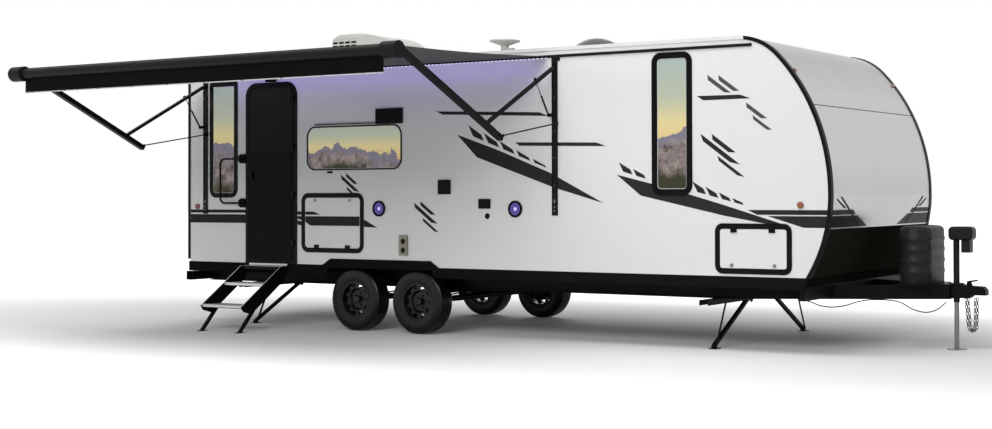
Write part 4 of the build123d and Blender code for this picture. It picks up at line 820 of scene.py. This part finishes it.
# %% Valance and its hem tape
valance_top, valance_drop = 2.600, 0.155


def valance_point(u, v):
    """Point of the valance: u along the roller and v down from it."""
    ripple = 0.0016 * math.sin(u * 61.0) * v
    x = fabric_x0 + u * (fabric_x1 - fabric_x0)
    return Vector((x, roller_y - ripple, valance_top - v * valance_drop))


valance_sheet = cloth_grid("valance_sheet", valance_cloth, 96, 8, valance_point)
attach(valance_sheet, "awning_valance")
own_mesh(valance_sheet)
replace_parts(valance_sheet, "awning_valance")
hem_tape_material = finish("hem_tape", (0.55, 0.55, 0.54), 0.6, grain=0.1)
bm = bmesh.new()
hem_z = valance_top - valance_drop
hem_y0, hem_y1 = roller_y - 0.0021, roller_y + 0.0021
add_box(bm, (fabric_x0, hem_y0, hem_z - 0.003), (fabric_x1, hem_y1, hem_z + 0.006))
hem_tape = store(bm, "valance_hem", hem_tape_material, "awning_valance")
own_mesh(hem_tape)

# %% [markdown]
# ## Tyres
# A tyre is turned from its profile: bead, bulging wall, shoulder and tread with four grooves. Every
# other face of the shoulder ring is pushed in as a notch.

# %% Tyre profile as distance from the middle plane and radius
half_profile = (
    (0.0740, 0.1785), (0.0900, 0.1900), (0.0968, 0.2250), (0.0980, 0.2600),
    (0.0965, 0.2850), (0.0915, 0.3060), (0.0850, 0.3185), (0.0770, 0.3268),
    (0.0540, 0.3300), (0.0525, 0.3220), (0.0455, 0.3220), (0.0440, 0.3306),
    (0.0165, 0.3314), (0.0150, 0.3230), (0.0080, 0.3230), (0.0065, 0.3315),
)
tyre_steps, notch_depth = 96, 0.004


def detailed_tyre(name, x, side, body):
    """Turned tyre with grooves and shoulder notches, on one wheel."""
    bm = bmesh.new()
    outline = list(half_profile) + [(-y, r) for y, r in reversed(half_profile)]
    ring = [bm.verts.new((0.0, y, r)) for y, r in outline]
    edges = [bm.edges.new(pair) for pair in zip(ring, ring[1:] + ring[:1])]
    spin_round(bm, ring, edges, (0, 0, 0), (0, 1, 0), tyre_steps)
    bmesh.ops.remove_doubles(bm, verts=bm.verts, dist=0.00002)
    bmesh.ops.recalc_face_normals(bm, faces=bm.faces)
    notched = []
    for face in bm.faces:
        middle = face.calc_center_median()
        if 0.086 < abs(middle.y) < 0.094 and math.hypot(middle.x, middle.z) > 0.31:
            step = round(math.atan2(middle.z, middle.x) / (2 * math.pi) * tyre_steps - 0.5)
            if step % 2 == 0:
                notched.append(face)
    made = bmesh.ops.extrude_discrete_faces(bm, faces=notched)
    for face in made["faces"]:
        bmesh.ops.translate(bm, verts=face.verts, vec=-face.normal * notch_depth)
    bmesh.ops.translate(bm, verts=bm.verts, vec=(x, side * wheel_y, tyre_r))
    return store(bm, name, rubber, body, 35)


for x, end in zip(axle_xs, ("rear", "front")):
    for side, side_name in ((1, "left"), (-1, "right")):
        wheel = f"{side_name}_{end}"
        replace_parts(detailed_tyre(f"{wheel}_tread", x, side, f"{wheel}_wheel"), f"{wheel}_tyre")

# %% [markdown]
# ## Steps
# Each tread has a ribbed aluminium top and a bright nosing, and a bright strip runs down the upper edge
# of both side plates.

# %% Nosings, ribs and edge strips
step_x0, step_x1 = -7.710, -7.110
step_slope = math.radians(35.7)
nose_line = Vector((0.0, -1.335, 0.662))
tread_runs = (0.0, 0.290, 0.655)
tread_depths = (0.108, 0.198, 0.198)
bm = bmesh.new()
for run, depth in zip(tread_runs, tread_depths):
    y = nose_line.y - math.cos(step_slope) * run
    z = nose_line.z - math.sin(step_slope) * run
    x0, x1 = step_x0 + 0.0085, step_x1 - 0.0085
    if run > 0.0:
        add_box(bm, (x0, y - 0.0035, z - 0.026), (x1, y + 0.0015, z + 0.002))
        add_box(bm, (x0, y - 0.0035, z + 0.0003), (x1, y + 0.030, z + 0.003))
    for rib in range(int((depth - 0.040) / 0.012)):
        rib_y = y + 0.038 + 0.012 * rib
        add_box(bm, (step_x0 + 0.030, rib_y, z + 0.0002), (step_x1 - 0.030, rib_y + 0.005, z + 0.0024))
slope_turn = Matrix.Rotation(step_slope, 4, "X")
plate_run = 0.680
for x in (step_x0, step_x1 - 0.008):
    middle = nose_line + Vector((0.0, -math.cos(step_slope), -math.sin(step_slope))) * plate_run / 2
    middle += Vector((0.0, -math.sin(step_slope), math.cos(step_slope))) * 0.0012
    low = Vector((x - 0.001, middle.y - plate_run / 2, middle.z - 0.0012))
    high = Vector((x + 0.009, middle.y + plate_run / 2, middle.z + 0.0012))
    add_box(bm, low, high, slope_turn)
    add_box(bm, (x - 0.001, -1.335, 0.662), (x + 0.009, -1.240, 0.6644))
store(bm, "step_nosings", aluminium, "entry_steps")

# %% [markdown]
# ## Lamps along the rail and in the speakers
# A strip of small lamps lies under the awning rail. Each speaker has two lit rings, and its cone and dust
# cap glow dim and brighter as painted light.

# %% Lamp strip and speakers
lamp_count, lamp_pitch, lamp_x0, lamp_z = 92, 0.05, -8.26, 2.7442
bm = bmesh.new()
for i in range(lamp_count):
    x = lamp_x0 + lamp_pitch * i
    add_box(bm, (x, door_side(0.014), lamp_z), (x + 0.010, door_side(0.008), lamp_z + 0.003))
store(bm, "rail_lamps", lamp_glow)


def add_ring(bm, x, y, z, outer, inner, thick):
    """Flat ring about Y with a given thickness."""
    made = bmesh.ops.create_circle(bm, segments=40, radius=outer, matrix=facing_y((x, y, z)))
    inside = points_of(bmesh.ops.extrude_edge_only(bm, edges=edges_of(made["verts"])))
    share = inner / outer
    bmesh.ops.scale(bm, verts=inside, vec=(share, 1.0, share), space=Matrix.Translation((-x, 0, -z)))
    faces = list({f for v in inside for f in v.link_faces})
    moved = points_of(bmesh.ops.extrude_face_region(bm, geom=faces))
    bmesh.ops.translate(bm, verts=moved, vec=(0.0, -thick, 0.0))


def round_fittings(name, material, places, discs=(), rings=(), smooth_deg=None):
    """Piece with the same discs and rings at each place, in x and z, on the door side wall.

    A disc is its lift, two radii, depth and segments. A ring is its lift, two radii and depth.
    """
    bm = bmesh.new()
    for x, z in places:
        for lift, r1, r2, depth, segments in discs:
            add_disc(bm, (x, door_side(lift), z), r1, r2, depth, segments)
        for lift, outer, inner, depth in rings:
            add_ring(bm, x, door_side(lift), z, outer, inner, depth)
    store(bm, name, material, "root", smooth_deg)


speakers = ((-5.827, 1.287), (-4.079, 1.287))
cone = ((0.0072, 0.061, 0.061, 0.0022, 40),)
dust_cap = ((0.0100, 0.022, 0.014, 0.006, 24),)
lit_rings = ((0.0084, 0.057, 0.050, 0.0016), (0.0084, 0.040, 0.036, 0.0016))
round_fittings("speaker_cones", speaker_cone_painted_light, speakers, cone, smooth_deg=40)
round_fittings("speaker_caps", dust_cap_painted_light, speakers, dust_cap, smooth_deg=40)
round_fittings("speaker_rings", ring_glow, speakers, rings=lit_rings)

# %% [markdown]
# ## Small fittings on the door side
# The cooker hood's flap and the square vent have slats. The outlet box has two round sockets, each
# with a rim, a dark disc and three pins.

# %% Slats and sockets
bm = bmesh.new()
for i in range(5):
    z = 2.185 + i * 0.026
    add_box(bm, (-5.845, door_side(0.025), z), (-5.527, door_side(0.0218), z + 0.018))
for i in range(6):
    z = 1.450 + i * 0.020
    add_box(bm, (-5.030, door_side(0.0182), z), (-4.896, door_side(0.0158), z + 0.012))
add_box(bm, (-4.515, door_side(0.016), 1.306), (-4.397, door_side(0.0138), 1.322))
add_disc(bm, (-4.425, door_side(0.0025), 1.216), 0.030, 0.028, 0.006, 24)
store(bm, "vent_slats", frame_black)
outlets = ((-5.487, 0.862), (-5.487, 0.953))
outlet_rim = ((0.0236, 0.036, 0.029, 0.0040),)
socket_disc = ((0.0242, 0.029, 0.029, 0.0016, 32),)
pin_disc = ((0.0253, 0.0035, 0.003, 0.0012, 10),)
pin_turns = [math.radians(90 + 120 * turn) for turn in range(3)]
pins = [(x + 0.014 * math.cos(a), z + 0.014 * math.sin(a)) for x, z in outlets for a in pin_turns]
round_fittings("outlet_rims", outlet_beige, outlets, rings=outlet_rim)
round_fittings("outlet_sockets", louvre_shade_and_socket_black, outlets, socket_disc)
round_fittings("outlet_pins", zinc, pins, pin_disc)

# %% [markdown]
# ## Window beads and the door sill
# A bright bead runs round each pane: one face with rounded corners, which an inset turns into a narrow
# ring. The door sill has a bright tread strip.


# %% Beads and sill
def bead(bm, x0, z0, width, height, radii, inset, side):
    """Narrow ring just inside a window frame on one wall."""
    middle = Vector((x0 + width / 2, side * door_side(0.0022), z0 + height / 2))
    size = Matrix.Diagonal((width - 2 * inset, height - 2 * inset, 1.0, 1.0))
    place = facing_y(middle) @ size
    made = bmesh.ops.create_grid(bm, x_segments=1, y_segments=1, size=0.5, matrix=place)
    corners = made["verts"]
    for top, radius in ((True, radii[0]), (False, radii[1])):
        chosen = [v for v in corners if v.is_valid and (v.co.z > middle.z) == top]
        offset = max(radius - inset, 0.004)
        bmesh.ops.bevel(
            bm, geom=chosen, offset=offset, affect="VERTICES", segments=6, profile=0.5, material=-1
        )
    pane = [f for f in bm.faces if not f.tag][0]
    bmesh.ops.inset_region(bm, faces=[pane], thickness=0.005, use_even_offset=True, use_boundary=True)
    bmesh.ops.delete(bm, geom=[pane], context="FACES_ONLY")
    for face in bm.faces:
        face.tag = True


# Each window as x, z, width, height, corner radii at its top and foot, and the bead's inset
windows = (
    (-8.312, 1.405, 0.430, 1.285, (0.030, 0.095), 0.050),
    (-6.840, 1.692, 1.318, 0.468, (0.115, 0.115), 0.014),
    (-2.512, 1.417, 0.430, 1.318, (0.095, 0.095), 0.058),
)
bm = bmesh.new()
for side in (1, -1):
    for x0, z0, width, height, radii, inset in windows:
        bead(bm, x0, z0, width, height, radii, inset + 0.0006, side)
beads = store(bm, "window_beads", pearl_line)
beads.modifiers.new("thickness", "SOLIDIFY").thickness = 0.0012
bm = bmesh.new()
# The strip stays between the edge strips of the steps, which fold up past it
add_box(bm, (-7.690, door_side(0.011), 0.6680), (-7.124, door_side(0.008), 0.6880))
store(bm, "door_sill_strip", aluminium, "root")

# %% [markdown]
# ## Fixings
# Rivets hold the awning channels. They are joined in one mesh with the slots at the channels' feet, and
# a small bracket closes each channel's head.

# %% Rivets, head brackets and hanging slots
channel_xs = (-3.606, -8.380)
bm = bmesh.new()
for x in channel_xs:
    for z in (1.52, 1.78, 2.04, 2.36, 2.52):
        add_disc(bm, (x, door_side(0.0135), z), 0.005, 0.003, 0.0026, 10)
    for z, height in ((1.262, 0.014), (1.30, 0.014), (1.345, 0.034)):
        add_box(bm, (x - 0.006, door_side(0.014), z), (x + 0.006, door_side(0.0118), z + height))
store(bm, "channel_rivets", zinc, "root")
bm = bmesh.new()
head_top = 2.747
for x in channel_xs:
    add_box(bm, (x - 0.032, door_side(0.014), 2.700), (x + 0.032, door_side(0.0005), head_top))
    add_box(bm, (x + 0.032, door_side(0.011), 2.715), (x + 0.060, door_side(0.0005), head_top))
store(bm, "channel_heads", awning_black, "root")

# %% [markdown]
# ## Gas bottle cover
# The cover stands over two bottles, so its plan is a circle pulled apart into two lobes. Its edges are
# extruded upwards level by level, and each level moves in or out, for the ribs and the rounded
# shoulder. A lid ring lies on top of each lobe.

# %% Cover and lid rings
cover_x, cover_lobe, cover_r = -0.330, 0.150, 0.150
cover_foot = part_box("gas_bottle_cover")[0].z
shoulder_z, shoulder_h, shoulder_in = 1.078, 0.050, 0.055
rib_out = 0.005
# Each level as its height and how far it stands out
cover_levels = [(cover_foot, -0.004), (cover_foot + 0.008, 0.0)]
for rib in (0.690, 0.790, 0.890, 0.990):
    cover_levels += [(rib, 0.0), (rib + 0.006, rib_out), (rib + 0.034, rib_out), (rib + 0.040, 0.0)]
for i in range(1, 9):
    turn = math.radians(90 * i / 8)
    rise, draw_in = shoulder_h * math.sin(turn), shoulder_in * (1.0 - math.cos(turn))
    cover_levels.append((shoulder_z + rise, -draw_in))
cover_levels += [(1.128, -0.070), (1.122, -0.075)]
lid_r, lid_wire, lid_z = 0.072, 0.007, 1.123


def spread_level(verts, z, grow):
    """Move one copy of the plan to a height, and out from its lobes' axes by grow."""
    for v in verts:
        lobe = Vector((cover_x, math.copysign(cover_lobe, v.co.y)))
        v.co.xy = lobe + (v.co.xy - lobe).normalized() * (cover_r + grow)
        v.co.z = z


bm = bmesh.new()
place = Matrix.Translation((cover_x, 0, cover_foot)) @ Matrix.Rotation(math.radians(3.0), 4, "Z")
plan = bmesh.ops.create_circle(bm, segments=60, radius=cover_r, cap_ends=False, matrix=place)["verts"]
for v in plan:
    v.co.y += math.copysign(cover_lobe, v.co.y)
spread_level(plan, *cover_levels[0])
edges = edges_of(plan)
for z, grow in cover_levels[1:]:
    made = bmesh.ops.extrude_edge_only(bm, edges=edges)
    spread_level(points_of(made), z, grow)
    edges = [e for e in made["geom"] if isinstance(e, bmesh.types.BMEdge) and e.is_boundary]
bmesh.ops.contextual_create(bm, geom=edges)
bmesh.ops.contextual_create(bm, geom=[e for e in bm.edges if e.is_boundary])
for side in (1, -1):
    centre = Vector((cover_x, side * cover_lobe, lid_z))
    place = facing_y(centre + Vector((lid_r, 0.0, 0.0)))
    ring = bmesh.ops.create_circle(bm, segments=10, radius=lid_wire, matrix=place)["verts"]
    spin_round(bm, ring, edges_of(ring), centre, (0, 0, 1), 36)
gas_cover = store(bm, "gas_cover_shell", cover_black, smooth_deg=40)
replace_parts(gas_cover, "gas_bottle_cover")

# %% [markdown]
# ## Safety chains
# A chain is one link repeated along its route, each turned a quarter from the last. The link is a small
# ring drawn out along the route.

# %% Chain links
chain_route = (
    (0.092, 0.470), (0.098, 0.395), (0.107, 0.300), (0.110, 0.232),
    (0.126, 0.184), (0.152, 0.170), (0.172, 0.196), (0.176, 0.262),
    (0.180, 0.345), (0.179, 0.425), (0.181, 0.480),
)
link_length, link_wire, link_half = 0.042, 0.0043, 0.0100


def add_link(bm, place):
    """One oval link in its own XY plane, long in X."""
    before = set(bm.verts)
    end = place @ Matrix.Translation((0, link_half, 0)) @ Matrix.Rotation(math.pi / 2, 4, "Y")
    start = bmesh.ops.create_circle(bm, segments=6, radius=link_wire, matrix=end)["verts"]
    centre = place.translation
    spin_round(bm, start, edges_of(start), centre, place.to_3x3() @ Vector((0, 0, 1)), 12)
    along = place.to_3x3() @ Vector((1, 0, 0))
    stretch = link_length / 2 - link_half - link_wire
    for v in bm.verts:
        if v not in before:
            side_of = (v.co - centre).dot(along)
            if abs(side_of) > 0.001:
                v.co += along * math.copysign(stretch, side_of)


def add_chain(bm, y):
    """Links along the whole route in one plane y."""
    points = [Vector((x + 0.006, y, z)) for x, z in chain_route]
    pitch = link_length - 2 * link_wire - 0.002
    travelled, number = pitch / 2, 0
    for a, b in zip(points, points[1:]):
        run = (b - a).length
        toward = (b - a).normalized()
        while travelled <= run:
            turn = toward.to_track_quat("X", "Z").to_matrix().to_4x4()
            quarter = Matrix.Rotation(math.pi / 4 + math.pi / 2 * (number % 2), 4, "X")
            add_link(bm, Matrix.Translation(a + toward * travelled) @ turn @ quarter)
            travelled += pitch
            number += 1
        travelled -= run
    return number


bm = bmesh.new()
print("links", [add_chain(bm, y) for y in (-0.034, 0.034)])
chains = store(bm, "chain_links", chain_steel, "root", 60)
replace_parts(chains, "safety_chains")

# %% [markdown]
# ## Floor, world and light
# The floor is a large pale plane with a little light added only for camera, mirror and glass rays, so
# that it runs out to white and still keeps the caravan's shadow.


# %% Floor and world
def seen_directly(tree):
    """One for camera, mirror and glass rays, and zero for the rays that light things."""
    path = tree.nodes.new("ShaderNodeLightPath")
    either = math_node(tree, "MAXIMUM", path.outputs["Is Camera Ray"], path.outputs["Is Glossy Ray"])
    return math_node(tree, "MAXIMUM", either, path.outputs["Is Transmission Ray"])


def vector_node(tree, operation, vector, value):
    """Vector math node between a socket and a fixed vector."""
    return add_node(tree, "VectorMath", {0: vector, 1: value}, operation=operation)


floor_material = bpy.data.materials.new("studio_floor")
floor_material.use_nodes = True
tree = floor_material.node_tree
shader = shader_of(floor_material)
shader.inputs["Base Color"].default_value = (0.85, 0.85, 0.85, 1.0)
shader.inputs["Roughness"].default_value = 0.9
shader.inputs["Specular IOR Level"].default_value = 0.1
shader.inputs["Emission Color"].default_value = (1.0, 1.0, 1.0, 1.0)
# The added light is little under the caravan and more far from it, where the lamps don't reach
narrowed = vector_node(tree, "MULTIPLY", object_place(tree), (0.45, 1.0, 1.0)).outputs["Vector"]
distance = vector_node(tree, "DISTANCE", narrowed, (-2.2, -0.8, 0.0)).outputs["Value"]
outward = math_node(tree, "MULTIPLY", map_range(tree, distance, 1.6, 7.0, smooth=True), 0.90)
added = math_node(tree, "ADD", outward, 0.04)
seen = math_node(tree, "MULTIPLY", seen_directly(tree), added)
tree.links.new(seen, shader.inputs["Emission Strength"])
bm = bmesh.new()
bmesh.ops.create_grid(bm, x_segments=1, y_segments=1, size=90.0)
studio_floor = store(bm, "studio_floor", floor_material, None)

world = bpy.data.worlds.new("studio")
bpy.context.scene.world = world
world.use_nodes = True
tree = world.node_tree
background = tree.nodes["Background"]
background.inputs["Color"].default_value = (1.0, 1.0, 1.0, 1.0)
ambient = 0.30
seen = math_node(tree, "MULTIPLY", seen_directly(tree), 1.0 - ambient)
tree.links.new(math_node(tree, "ADD", seen, ambient), background.inputs["Strength"])


# %% Soft lamps
def soft_lamp(name, place, target, size, power):
    """Large square lamp that looks at a point."""
    data = bpy.data.lights.new(name, "AREA")
    data.shape = "RECTANGLE"
    data.size, data.size_y = size
    data.energy = power
    lamp = bpy.data.objects.new(name, data)
    toward = Vector(target) - Vector(place)
    lamp.matrix_world = Matrix.Translation(place) @ toward.to_track_quat("-Z", "Y").to_matrix().to_4x4()
    bpy.context.scene.collection.objects.link(lamp)
    return lamp


soft_lamp("key_lamp", (-1.0, -13.0, 7.5), (-3.5, -1.2, 1.0), (9.0, 4.0), 800.0)
soft_lamp("top_lamp", (-4.0, -4.8, 9.0), (-4.0, -2.6, 0.0), (10.0, 4.0), 520.0)
soft_lamp("rear_lamp", (-12.0, 9.0, 6.0), (-5.0, 0.0, 1.5), (8.0, 6.0), 350.0)

# %% [markdown]
# The lamp strip's own light is too weak for a lit studio, so a long thin lamp beside it washes the wall
# with violet. It doesn't show itself, neither directly nor in the glossy paint.

# %% Violet wash under the rail
wash = soft_lamp("rail_wash", (-5.95, -1.40, 2.70), (-5.95, -1.219, 2.56), (4.3, 0.05), 2.6)
wash.data.color = (0.30, 0.22, 1.0)
wash.visible_camera = wash.visible_glossy = False

# %% [markdown]
# ## View
# The view transform stays Standard.

# %% View transform
bpy.context.scene.view_settings.view_transform = "Standard"
